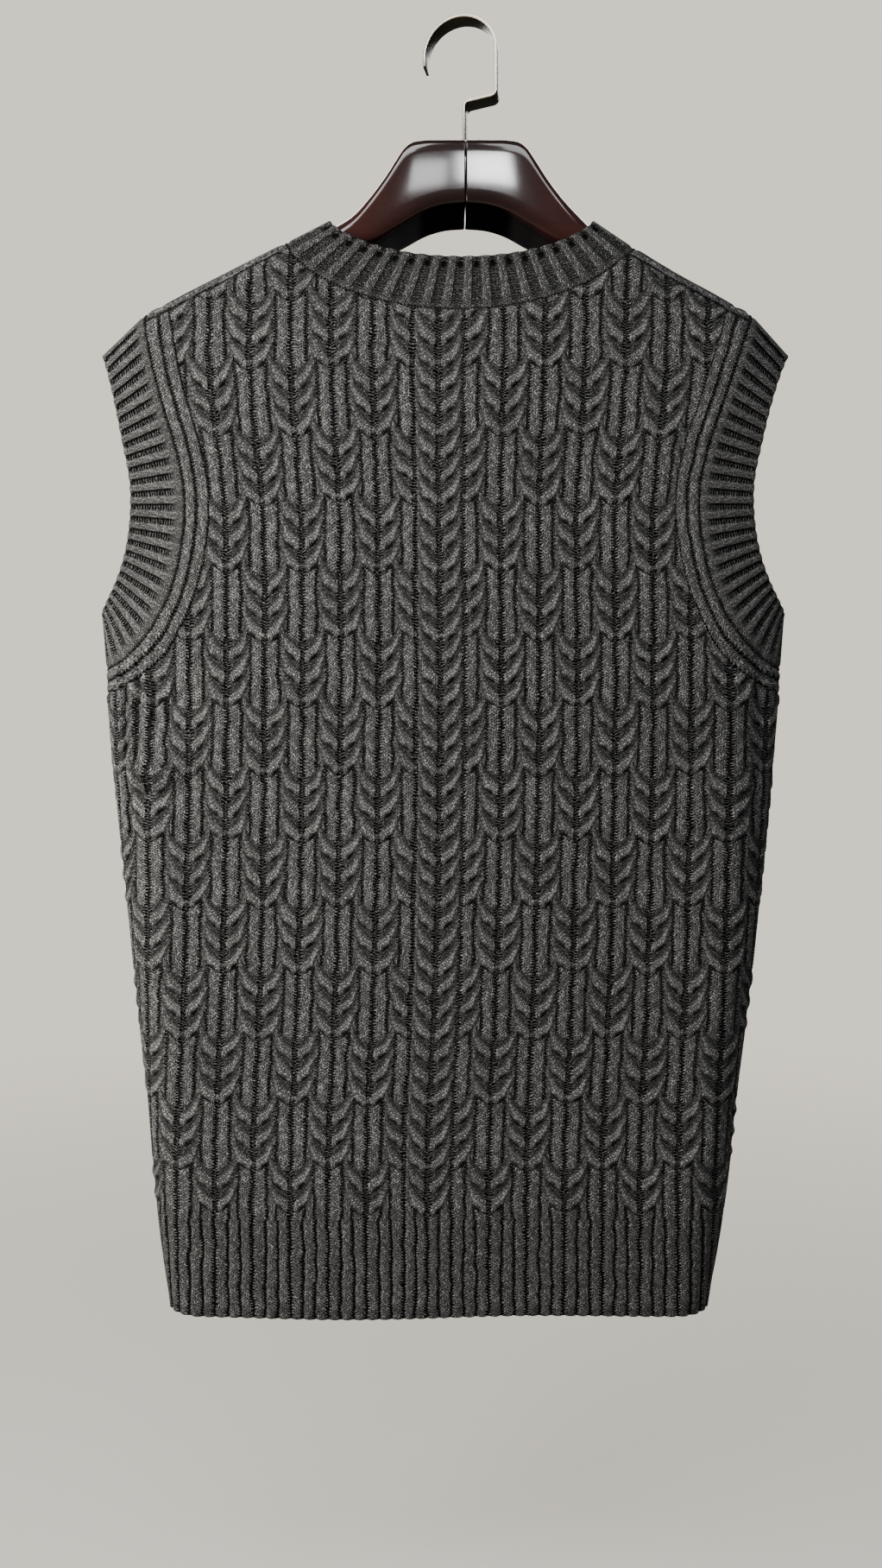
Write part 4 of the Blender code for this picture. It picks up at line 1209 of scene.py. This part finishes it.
    def build(self) -> bpy.types.Object:
        """Make the panel's mesh and finish."""
        form, cut = self.form, self.cut()
        outline = cut.outline
        knit, plain = self.knit_places(outline), self.plain_places(outline)
        outer, inner = np.vstack([outline, knit]), np.vstack([outline, plain])
        roll = outline.copy()
        roll[:cut.hem_count, 1] -= self.hem_roll
        count = len(outline)

        places = np.vstack([outer, roll, inner])
        ribs = self.chart.ribs_of(form, *places.T)
        rows = self.chart.row_of(places[:, 1])
        border = nearest(cut.followed, places) / self.chart.rib
        edge = nearest(cut.seams, outer)
        charted = self.chart.read(ribs, rows, border).lift
        lift = charted[:len(outer)] * between(soft_step(edge, 0.0, self.seam_fade),
                                              self.seam_lift, 1.0)
        lifts = np.concatenate([lift, np.full(count, -form.wall * self.rim_share),
                                np.full(len(inner), -form.wall)])
        v = (places[:, 1] - form.ridge_to_z(places[:, 0])) * self.face.value
        points = form.cloth(places[:, 0], v, lifts)

        inside = np.zeros(len(places))
        inside[-len(inner):] = 1.0
        made = cloth_mesh(self.name, points, self.faces(outline, knit, plain),
                          np.column_stack([ribs, rows]),
                          {"border": border, "inside": inside, "lift": charted})
        hand_over(made, YarnFinish(self.name.replace("knit", "yarn")), self.node + "_knit",
                  self.node)
        s, w = outline.T
        area = abs(np.dot(s, np.roll(w, -1)) - np.dot(w, np.roll(s, -1))) / 2
        lay_out(made, area)
        return made


def at_phase(halves: Sequence[np.ndarray], phase: np.ndarray) -> np.ndarray:
    """Places on a free edge, whose two halves are read by their length.

    Args:
        halves: Dense routes of the near and the far half.
        phase: 0 to 1 along the near half, and 1 to 2 along the far one.

    Returns:
        One point for each phase.
    """
    found = np.zeros((len(phase), 3))
    for half, points in enumerate(halves):
        length = lengths(points)
        chosen = (phase % 2 >= half) & (phase % 2 < half + 1)
        at = (phase[chosen] % 1) * length[-1]
        found[chosen] = np.column_stack([np.interp(at, length, axis) for axis in points.T])
    return found


@dataclass
class RibBand:
    """A ribbed band, knitted on round an opening, with a rounded free edge."""

    name: str
    node: str
    flat: tuple[float, float]
    chart: RibChart
    form: ClothForm = FORM
    per_rib: int = 12
    rows: int = 20
    inner_rows: int = 5
    course: float = 0.00178
    roll: float = 0.0009
    foot_lift: float = 0.25      # share of the lift that stands at the foot
    foot_reach: float = 0.12     # share of the height where all of it does
    bump_from: float = 0.8       # share of the height where the edge's bumps start
    dense: int = 600

    def seam(self) -> tuple[np.ndarray, np.ndarray]:
        """(s, v, phase) places of the band's foot, near half and far half."""
        raise NotImplementedError

    def edge_halves(self) -> tuple[np.ndarray, np.ndarray]:
        """Dense routes of the free edge, near half and far half."""
        raise NotImplementedError

    def edge_phase(self, phase: np.ndarray) -> np.ndarray:
        """Where on the edge each place of the foot is drawn to."""
        return phase

    def frames(self) -> tuple[np.ndarray, ...]:
        """Foot and edge points of every column, with their outward normals."""
        near, far = self.seam()
        route = np.vstack([near[:-1], far[:-1]])
        foot = self.form.cloth(route[:, 0], route[:, 1])
        normal = self.form.cloth(route[:, 0], route[:, 1], 1.0) - foot
        edge = at_phase(self.edge_halves(), self.edge_phase(route[:, 2]))
        run = np.roll(foot, -1, axis=0) - np.roll(foot, 1, axis=0)
        away = unit(np.cross(normal, run))
        away *= np.sign((away * (edge - foot)).sum(1))[:, None]
        foot = foot + away * self.form.seam_gap
        edge_run = np.roll(edge, -1, axis=0) - np.roll(edge, 1, axis=0)
        edge_normal = unit(np.cross(edge_run, edge - foot))
        edge_normal *= np.sign((edge_normal * normal).sum(1))[:, None]
        return foot, normal, edge, edge_normal

    def layers(self, foot: np.ndarray, normal: np.ndarray, edge: np.ndarray,
               edge_normal: np.ndarray) -> list[tuple[np.ndarray, np.ndarray, float, float]]:
        """Rows of points up the outside, round the free edge and down the inside.

        Args:
            foot: The foot's point of every column.
            normal: The cloth's outward normals there.
            edge: The free edge's point of every column.
            edge_normal: The outward normals there.

        Returns:
            Each row's points, charted lift, share of the height, and 1 on the inside.
        """
        count, wall = len(foot), self.form.wall
        ribs = np.arange(count) / self.per_rib
        span = np.linalg.norm(edge - foot, axis=1)
        out = (edge - foot) / span[:, None]
        rows: list[tuple[np.ndarray, np.ndarray, float, float]] = []

        def put(share: float, beyond: np.ndarray, inside: float,
                lift: np.ndarray | None = None) -> None:
            """Add one row, by default as high as its chart."""
            base = foot + (edge - foot) * share
            up = unit(normal * (1 - share) + edge_normal * share)
            charted = self.chart.read(ribs, span * share / self.course,
                                      np.full(count, share)).lift
            lift = charted * self.taper(share) if lift is None else lift
            rows.append((base + out * beyond[:, None] + up * lift[:, None], charted, share,
                         inside))

        bumps = self.chart.scallop * (1 - 2 * np.abs(ribs % 1 - 0.5)) ** 0.7
        for share in np.linspace(0, 1, self.rows + 1):
            put(share, bumps * soft_step(share, self.bump_from, 1.0), 0.0)
        top = rows[-1][1] * self.taper(1.0)
        for turn in (0.25, 0.5, 0.75):
            lift = (top - wall) / 2 + (top + wall) / 2 * math.cos(turn * math.pi)
            put(1.0, bumps + self.roll * math.sin(turn * math.pi), 0.0, lift)
        for share in np.linspace(1, 0, self.inner_rows + 1):
            put(share, bumps * soft_step(share, self.bump_from, 1.0), 1.0,
                np.full(count, -wall))
        return rows

    def skin(self, points: np.ndarray, normal: np.ndarray,
             down: np.ndarray) -> tuple[np.ndarray, np.ndarray]:
        """Faces all round the band, and the chart place of each of their corners.

        Args:
            points: Points of every column, row by row.
            normal: Outward normals of the foot.
            down: Stitches from the foot, for every point.

        Returns:
            The faces, and across and down for each corner.
        """
        count, size = down.shape
        ring, row = (grid.ravel() for grid in np.meshgrid(
            np.arange(count), np.arange(size), indexing="ij"))
        steps = ((0, 0), (0, 1), (1, 1), (1, 0))
        probe = points[:2, self.rows // 2:self.rows // 2 + 2]
        facing = np.dot(np.cross(probe[0, 1] - probe[0, 0], probe[1, 0] - probe[0, 0]),
                        normal[0])
        if facing < 0:
            steps = steps[::-1]
        faces = np.column_stack([(ring + a) % count * size + (row + b) % size
                                 for a, b in steps])
        corners = [np.column_stack([(ring + a) / self.per_rib,
                                    down[(ring + a) % count, (row + b) % size]])
                   for a, b in steps]
        return faces, np.stack(corners, axis=1).reshape(-1, 2)

    def build(self) -> bpy.types.Object:
        """Make the band's mesh and finish."""
        frames = self.frames()
        foot, normal, edge, _ = frames
        places, charted, shares, inside = zip(*self.layers(*frames))
        points = np.stack(places, axis=1)
        span = np.linalg.norm(edge - foot, axis=1)
        faces, chart = self.skin(points, normal, span[:, None] * shares / self.course)
        marks = {"lift": np.stack(charted, axis=1).ravel(),
                 "share": np.tile(shares, len(foot)),
                 "inside": np.tile(inside, len(foot))}
        made = cloth_mesh(self.name, points.reshape(-1, 3), faces, chart, marks)
        hand_over(made, BandFinish(self.name + "_yarn", chart=self.chart),
                  self.node + "_knit", self.node)
        area = 0.5 * (lengths(foot)[-1] + lengths(edge)[-1]) * float(span.mean())
        lay_out(made, area)
        return made

    def taper(self, share: float) -> float:
        """How much of the rib's lift stands at a share of the height."""
        risen = soft_step(np.float64(share), 0.0, self.foot_reach)
        return float(between(risen, self.foot_lift, 1.0))


@dataclass
class NeckBand(RibBand):
    """The band round the neck, fastened off with a row of eyelets."""

    edge_half: float = 0.0845
    edge_z: float = -0.1332
    edge_dips: tuple[float, float] = (0.0305, 0.0665)
    edge_depth: float = 0.0240

    def seam(self) -> tuple[np.ndarray, np.ndarray]:
        """The neck ring, back and then front."""
        return self.form.neck_seam(self.per_rib)

    def edge_halves(self) -> tuple[np.ndarray, np.ndarray]:
        """The free edge, back and then front."""
        halves = []
        for face, dip in zip((-1, 1), self.edge_dips):
            angle = np.linspace(0, math.pi, self.dense)[::face]
            fall = dip * np.sin(angle)
            lean = np.arccos(np.clip(1 - fall / self.form.ridge_drop, 0, 1))
            halves.append(np.column_stack([self.edge_half * np.cos(angle),
                                           face * self.edge_depth * np.sin(lean),
                                           self.edge_z - fall]))
        return halves[0], halves[1]


@dataclass
class ArmBand(RibBand):
    """The band round one armhole."""

    side: int = -1
    lean: float = 1.22
    edge_rows: Table = (                     # x, depth, z
        (0.2190, 0.0000, -0.3865), (0.2175, 0.0070, -0.3835), (0.2130, 0.0118, -0.3765),
        (0.2075, 0.0148, -0.3670), (0.2018, 0.0165, -0.3530), (0.1968, 0.0178, -0.3290),
        (0.1962, 0.0180, -0.3050), (0.2015, 0.0180, -0.2760), (0.2080, 0.0172, -0.2480),
        (0.2140, 0.0140, -0.2290), (0.2185, 0.0075, -0.2195), (0.2200, 0.0000, -0.2175),
    )

    def seam(self) -> tuple[np.ndarray, np.ndarray]:
        """The armhole ring, back and then front."""
        return self.form.arm_seam(self.side, self.per_rib)

    def edge_phase(self, phase: np.ndarray) -> np.ndarray:
        """Ribs lean down towards the underarm."""
        up = (1 - np.abs(phase % 2 - 1)) ** self.lean
        return np.where(phase % 2 < 1, up, 2 - up)

    def edge_halves(self) -> tuple[np.ndarray, np.ndarray]:
        """The free edge, back and then front."""
        rows = along(self.edge_rows, self.dense)
        rows[:, 0] = self.form.centre_x(rows[:, 2]) + self.side * rows[:, 0]
        return rows * (1, -1, 1), rows[::-1]


@dataclass
class LinkSeam:
    """Linking stitches that join knitted pieces, one small loop at a time."""

    name: str
    slot: str
    routes: Sequence[np.ndarray]         # (s, v) places along each seam
    form: ClothForm = FORM
    pitch: float = 0.0021
    reach: float = 0.0013
    slant: float = 0.0007
    rise: float = 0.0006
    dip: float = 0.0003          # how far a loop's ends go under
    radius: float = 0.00042
    thick: float = 1.1           # radii of a loop's middle
    thinning: float = 0.35       # radii that its ends lose
    sizes: tuple[float, float] = (0.85, 1.15)
    ways: tuple[float, float] = (0.55, 1.0)      # share of the slant, in turn
    sides: int = 5

    def loop(self) -> tuple[np.ndarray, list[list[int]]]:
        """Points of one loop's tube, as across, along and up, and its faces."""
        share = np.linspace(-1, 1, 5)
        middle = np.column_stack([share * self.reach, share * self.slant,
                                  self.rise * (1 - share ** 2) - self.dip * np.abs(share)])
        run = unit(np.gradient(middle, axis=0))
        side = unit(np.cross(run, (0.0, 0.0, 1.0)))
        top = np.cross(side, run)
        angle = np.linspace(0, TAU, self.sides, endpoint=False)
        width = self.radius * (self.thick - self.thinning * share ** 2)
        ring = (side[:, None] * np.cos(angle)[None, :, None]
                + top[:, None] * np.sin(angle)[None, :, None]) * width[:, None, None]
        points = middle[:, None] + ring
        last = (len(share) - 1) * self.sides
        faces = [[first + corner, first + self.sides + corner, first + self.sides + after,
                  first + after]
                 for first in range(0, last, self.sides)
                 for corner, after in zip(range(self.sides), [*range(1, self.sides), 0])]
        faces.append(list(range(self.sides)))
        faces.append([last + corner for corner in reversed(range(self.sides))])
        return points.reshape(-1, 3), faces

    def build(self) -> bpy.types.Object:
        """Copy the loop along every seam."""
        rng = np.random.default_rng(7)
        shape, shape_faces = self.loop()
        points, faces = [], []
        for route in self.routes:
            place = self.form.cloth(route[:, 0], route[:, 1])
            count = int(lengths(place)[-1] / self.pitch)
            even = even_steps(place, route[:, :2], count)
            place = self.form.cloth(even[:, 0], even[:, 1])
            normal = self.form.cloth(even[:, 0], even[:, 1], 1.0) - place
            run = unit(np.gradient(place, axis=0))
            across = np.cross(run, normal)
            for number in range(count):
                size = between(rng.random(), *self.sizes)
                way = self.ways[number % 2]
                loop = (place[number] + across[number] * shape[:, :1] * size
                        + run[number] * shape[:, 1:2] * way
                        + normal[number] * shape[:, 2:] * size)
                start = len(points) * len(shape)
                points.append(loop)
                faces.extend([[corner + start for corner in face] for face in shape_faces])
        made = new_piece(self.name, np.vstack(points), faces)
        deselect()
        made.select_set(True)
        bpy.context.view_layer.objects.active = made
        bpy.ops.object.mode_set(mode="EDIT")
        face_outwards()
        hand_over(made, ThreadFinish(self.name + "_thread"), self.slot)
        return made


# --- hanger ----------------------------------------------------------------------------------
@dataclass
class HangerHalf:
    """One moulded half of the hanger, from the joint to the shoulder's round end."""

    name: str
    node: str
    side: int
    form: ClothForm = FORM
    centre_x: float = 0.0026
    joint: float = 0.0004        # how far the joint's edge is rounded in
    clearance: float = 0.0010
    neck_clearance: float = 0.0034
    clearance_x: tuple[float, float] = (0.1200, 0.1450)     # where one gives way to the other
    cover_x: float = 0.0900      # from here out the cloth lies on the hanger
    overlap: float = 0.0003
    first_step: float = 0.0040
    arm_start: float = 0.0800
    round_x: float = 0.1740
    round_fall: float = 0.2500
    sides: int = 44
    steps: int = 84
    sharp: float = 50.0          # degrees from which an edge stays sharp
    underneath: tuple[float, float] = (0.75, 0.92)      # how far a face turns down
    rows: Table = (              # out, top, bottom, half depth, roundness; 0 follows the cloth
        (0.0002, -0.0855, -0.1270, 0.0205, 9.0), (0.0150, -0.0855, -0.1285, 0.0205, 9.0),
        (0.0280, -0.0858, -0.1330, 0.0204, 9.0), (0.0345, -0.0870, -0.1368, 0.0203, 8.5),
        (0.0390, -0.0903, -0.1395, 0.0202, 8.0), (0.0440, -0.0973, -0.1425, 0.0201, 7.0),
        (0.0520, -0.1093, -0.1475, 0.0199, 6.0), (0.0610, -0.1206, -0.1530, 0.0197, 4.8),
        (0.0720, -0.1313, -0.1600, 0.0190, 3.6), (0.0840, -0.1385, -0.1680, 0.0180, 2.6),
        (0.1000, 0.0, -0.1790, 0.0176, 2.0), (0.1200, 0.0, -0.1920, 0.0176, 2.0),
        (0.1450, 0.0, -0.2055, 0.0172, 2.0), (0.1650, 0.0, -0.2130, 0.0166, 2.0),
        (0.1810, 0.0, -0.2150, 0.0150, 2.0), (0.1860, 0.0, -0.2110, 0.0090, 2.0),
    )

    def under_cloth(self, out: np.ndarray, x: np.ndarray) -> np.ndarray:
        """Height just under the cloth's ridge."""
        z = np.full(len(x), -0.15)
        for _ in range(8):
            z = self.form.ridge_z(x - self.form.centre_x(z))
        spare = np.interp(out, self.clearance_x, (self.neck_clearance, self.clearance))
        fall = np.maximum(out - self.round_x, 0.0) * self.round_fall
        return z - self.form.wall - spare - fall

    def sections(self) -> np.ndarray:
        """Points of every section, from the joint outwards."""
        rows = np.asarray(self.rows)
        x = self.side * rows[:, 0] + np.where(rows[:, 0] < self.arm_start, self.centre_x, 0.0)
        under = self.under_cloth(rows[:, 0], x)
        rows[:, 1] = np.where(rows[:, 1] == 0.0, under, rows[:, 1])
        first, last = rows[0, 0], rows[-1, 0]
        out = np.concatenate([first + self.joint * np.arange(3), np.linspace(
            first + self.first_step, last, self.steps)])
        x, top, bottom, half_depth, roundness = smooth(
            np.column_stack([rows[:, 0], x, rows[:, 1:]]), out)[1:]
        highest = self.under_cloth(out, x) + self.overlap
        top = np.where(out > self.cover_x, np.minimum(top, highest), top)
        inset = np.where(np.arange(len(out)) == 0, self.joint, 0.0)
        angle = np.linspace(0, TAU, self.sides, endpoint=False) + math.pi / self.sides
        middle, half = (top + bottom)[:, None] / 2, (top - bottom)[:, None] / 2
        half, depth = half - inset[:, None], half_depth[:, None] - inset[:, None]
        power = 2 / roundness[:, None]
        y = depth * np.sign(np.cos(angle)) * np.abs(np.cos(angle)) ** power
        z = middle + half * np.sign(np.sin(angle)) * np.abs(np.sin(angle)) ** power
        return np.stack([np.broadcast_to(x[:, None], y.shape), y, z], axis=2)

    def build(self) -> bpy.types.Object:
        """Extrude the first section outwards, one section at a time."""
        deselect()
        bpy.ops.mesh.primitive_circle_add(vertices=self.sides, radius=1.0, fill_type="NGON")
        made = bpy.context.object
        made.name = self.name
        bpy.ops.object.mode_set(mode="EDIT")
        before = None
        for section in self.sections():
            if before is not None:
                bpy.ops.mesh.extrude_region_move()
            shape = bmesh.from_edit_mesh(made.data)
            cap = next(face for face in shape.faces if face.select)
            for number, vert in enumerate(cap.verts):
                if before is not None:
                    number = int(np.abs(before - np.asarray(vert.co)).sum(1).argmin())
                vert.co = section[number]
            bmesh.update_edit_mesh(made.data)
            before = section
        face_outwards()
        bpy.ops.object.shade_smooth_by_angle(angle=math.radians(self.sharp))
        # marks the faces that turn down, for the coat's painted shade
        under = made.data.attributes.new("under", "FLOAT", "POINT")
        under.data.foreach_set("value", [soft_step(-vert.normal.z, *self.underneath)
                                         for vert in made.data.vertices])
        hand_over(made, LacquerFinish(self.name + "_coat"),
                  self.node.replace("hanger", "hanger_lacquer"), self.node)
        return made


@dataclass
class StripHook:
    """The flat metal hook: one strip bent into a stem, a step and a crown."""

    name: str
    node: str
    strip: float = 0.0018
    width: float = 0.0110
    crown_radius: float = 0.0235
    stem_x: float = 0.0026
    foot_z: float = -0.0857
    step_z: float = -0.0545
    step_rise: float = 0.0015
    bend: float = 0.0035
    tip_drop: float = 0.0060
    twist: float = 13.0      # degrees about its stem
    edge: float = 0.00030
    bend_steps: int = 8
    crown_steps: int = 40
    sharp: float = 40.0      # degrees from which an edge stays sharp
    cut: float = 50.0        # degrees from which an edge is worn round

    def push(self, x: float, z: float) -> None:
        """Lengthen the strip by a straight run."""
        bpy.ops.mesh.extrude_region_move(TRANSFORM_OT_translate={"value": (x, 0.0, z)})

    def turn(self, x: float, z: float, degrees: float, steps: int) -> None:
        """Bend the strip about a line along Y."""
        bpy.ops.mesh.spin(steps=steps, angle=math.radians(degrees), center=(x, 0.0, z),
                          axis=(0.0, 1.0, 0.0))

    def build(self) -> bpy.types.Object:
        """Draw the strip out from its foot, round its bends, to the tip."""
        deselect()
        bpy.ops.mesh.primitive_plane_add(size=1.0, location=(self.stem_x, 0.0, self.foot_z))
        made = bpy.context.object
        made.name = self.name
        bpy.ops.object.mode_set(mode="EDIT")
        bpy.ops.transform.resize(value=(self.strip, self.width, 1.0))
        crown_z = self.strip / 2 - self.crown_radius
        self.push(0.0, self.step_z - self.bend - self.foot_z)
        self.turn(self.stem_x + self.bend, self.step_z - self.bend, -90,
                  self.bend_steps)
        step = self.crown_radius - self.bend - self.stem_x - self.bend
        self.push(step, self.step_rise)
        self.turn(self.crown_radius - self.bend, self.step_z + self.bend + self.step_rise,
                  90, self.bend_steps)
        self.push(0.0, crown_z - self.step_z - self.bend - self.step_rise)
        self.turn(0.0, crown_z, 180, self.crown_steps)
        self.push(0.0, -self.tip_drop)
        bpy.ops.mesh.select_all(action="SELECT")
        bpy.ops.mesh.remove_doubles(threshold=1e-6)
        bpy.ops.transform.rotate(value=math.radians(self.twist), orient_axis="Z",
                                 center_override=(self.stem_x, 0.0, 0.0))
        face_outwards()
        bpy.ops.object.transform_apply(location=True, rotation=True, scale=True)
        bevel = made.modifiers.new("worn_edges", "BEVEL")
        bevel.width, bevel.segments = self.edge, 2
        bevel.angle_limit = math.radians(self.cut)
        bpy.ops.object.modifier_apply(modifier=bevel.name)
        bpy.ops.object.shade_smooth_by_angle(angle=math.radians(self.sharp))
        hand_over(made, MetalFinish(self.name + "_metal"), "hook_metal", self.node)
        return made


# --- studio --------------------------------------------------------------------------------
@dataclass(frozen=True)
class Studio:
    """Pale floor, soft light, and the photograph's camera."""

    camera_place: tuple[float, float, float] = (-0.013, -0.762, -0.4933)
    lens: float = 27.04
    floor_z: float = -1.06
    floor_radius: float = 3.0
    floor_colour: Colour = (0.62, 0.60, 0.56)
    floor_alpha: float = 0.55
    floor_fade: tuple[float, float] = (0.3, 2.0)
    aim_z: float = -0.42
    world: Colour = (1.12, 1.05, 0.88)
    around: float = 0.12            # the room's brightness as the object sees it
    lights: Table = (      # x, y, z, width, height, power, warmth
        (-0.36, -0.92, 0.80, 0.60, 0.40, 8.8, 0.0),
        (0.30, -0.95, 0.74, 0.44, 0.36, 4.2, 0.0),
        (-0.64, -0.44, -0.36, 0.24, 0.80, 12.0, 0.05),
        (0.062, -0.90, 0.361, 0.090, 0.080, 1.4, -0.01),
        (-0.050, -0.90, 0.346, 0.085, 0.070, 0.35, -0.01),
        (0.0, 1.1, 0.6, 1.4, 0.8, 20.0, 0.0),
    )

    def build(self) -> None:
        """Set up camera, lights, world and floor."""
        self.camera()
        self.lamps()
        self.room()
        self.floor()

    def camera(self) -> None:
        """The photograph's camera, level and straight on."""
        camera = bpy.data.cameras.new("camera")
        camera.lens = self.lens
        camera.clip_start = 0.01
        held = bpy.data.objects.new("camera", camera)
        held.location = self.camera_place
        held.rotation_euler = (math.pi / 2, 0.0, 0.0)
        bpy.context.scene.collection.objects.link(held)
        bpy.context.scene.camera = held

    def lamps(self) -> None:
        """Soft lights, each aimed at the vest's middle."""
        for number, (x, y, z, width, height, power, warmth) in enumerate(self.lights):
            light = bpy.data.lights.new(f"soft_light_{number}", "AREA")
            light.shape = "RECTANGLE"
            light.size, light.size_y = width, height
            light.energy = power
            light.color = (1.0, 1.0 - warmth, 1.0 - 2.5 * warmth)
            lamp = bpy.data.objects.new(light.name, light)
            lamp.location = (x, y, z)
            aim = Vector((0.0, 0.0, self.aim_z)) - lamp.location
            lamp.rotation_euler = aim.to_track_quat("-Z", "Y").to_euler()
            bpy.context.scene.collection.objects.link(lamp)

    def room(self) -> None:
        """A pale world for the camera, and a dimmer one for the object."""
        world = bpy.data.worlds.new("pale_room")
        world.use_nodes = True
        nodes, links = world.node_tree.nodes, world.node_tree.links
        seen = nodes["Background"]
        seen.inputs["Color"].default_value = (*self.world, 1.0)
        around = nodes.new("ShaderNodeBackground")
        around.inputs["Color"].default_value = (1.0, 1.0, 1.0, 1.0)
        around.inputs["Strength"].default_value = self.around
        path = nodes.new("ShaderNodeLightPath")
        mix = nodes.new("ShaderNodeMixShader")
        links.new(path.outputs["Is Camera Ray"], mix.inputs[0])
        links.new(around.outputs[0], mix.inputs[1])
        links.new(seen.outputs[0], mix.inputs[2])
        links.new(mix.outputs[0], nodes["World Output"].inputs["Surface"])
        bpy.context.scene.world = world

    def floor(self) -> None:
        """A plain pale floor that fades into the room."""
        deselect()
        bpy.ops.mesh.primitive_circle_add(vertices=96, radius=self.floor_radius,
                                          fill_type="NGON", location=(0.0, 0.0, self.floor_z))
        floor = bpy.context.object
        floor.name = "floor"
        bpy.ops.object.transform_apply(location=True, rotation=True, scale=True)
        material = bpy.data.materials.new("pale_floor")
        bench = Bench(material)
        flat = bench.stretched(bench.place(), (1.0, 1.0, 0.0))
        away = bench.node("ShaderNodeVectorMath", {"operation": "LENGTH"}, {0: flat}, "Value")
        faded = soft_step(away, *self.floor_fade)
        bench.finish(Base_Color=(*self.floor_colour, 1.0), Roughness=0.9,
                     Alpha=self.floor_alpha - faded * self.floor_alpha)
        floor.data.materials.append(material)


def seams(form: ClothForm = FORM, per_rib: int = 12, hem_gap: float = 0.001,
          shoulder_reach: tuple[float, float] = (0.118, 0.190)) -> None:
    """Link every piece of the vest to its neighbours.

    Args:
        form: The vest's ground.
        per_rib: Places for each rib of a band.
        hem_gap: Height over the hem where the side seams start.
        shoulder_reach: s where a shoulder seam starts and ends.
    """
    rings = [("neck_link", "neck_band_knit", form.neck_seam(per_rib))]
    rings += [(word + "_link", f"armhole_band_{word}_knit", form.arm_seam(side, per_rib))
              for side, word in SIDES]
    for name, slot, (near, far) in rings:
        LinkSeam(name, slot, (np.vstack([near, far[1:]]),)).build()
    z = np.linspace(form.hem_z + hem_gap, form.underarm_z, 240)
    s = form.side_reach(z)
    shoulder = np.linspace(*shoulder_reach, 60)
    routes = []
    for side, _ in SIDES:
        routes.append(np.column_stack([side * s, form.v_of(s, z)]))
        routes.append(np.column_stack([side * shoulder, np.full(60, form.seam_v)]))
    LinkSeam("body_link", "back_panel_knit", routes).build()


def main() -> None:
    """Build every piece in order."""
    logging.basicConfig(level=logging.INFO, format="%(name)s %(message)s")
    Studio().build()
    Panel("back_knit", "back_panel", Face.BACK, (0.456, 0.69)).build()
    Panel("front_knit", "front_panel", Face.FRONT, (0.456, 0.73)).build()
    neck = RibChart(2.0, 0.46, 0.0012, purl=0.34, eyelet=1.0, scallop=0.0006,
                    calm=(0.02, 0.12), painted_rib_light=0.30)
    arm = RibChart(3.0, 0.54, line=1.0, purl=0.85, painted_rib_light=0.60)
    NeckBand("neck_rib", "neck_band", (0.62, 0.031), neck).build()
    for side, word in SIDES:
        ArmBand(word + "_rib", "armhole_band_" + word, (0.56, 0.036), arm, side=side).build()
    seams()
    for side, word in SIDES:
        HangerHalf(word + "_half", "hanger_" + word, side).build()
    StripHook("bent_strip", "hook_strip").build()


if __name__ == "__main__":
    main()
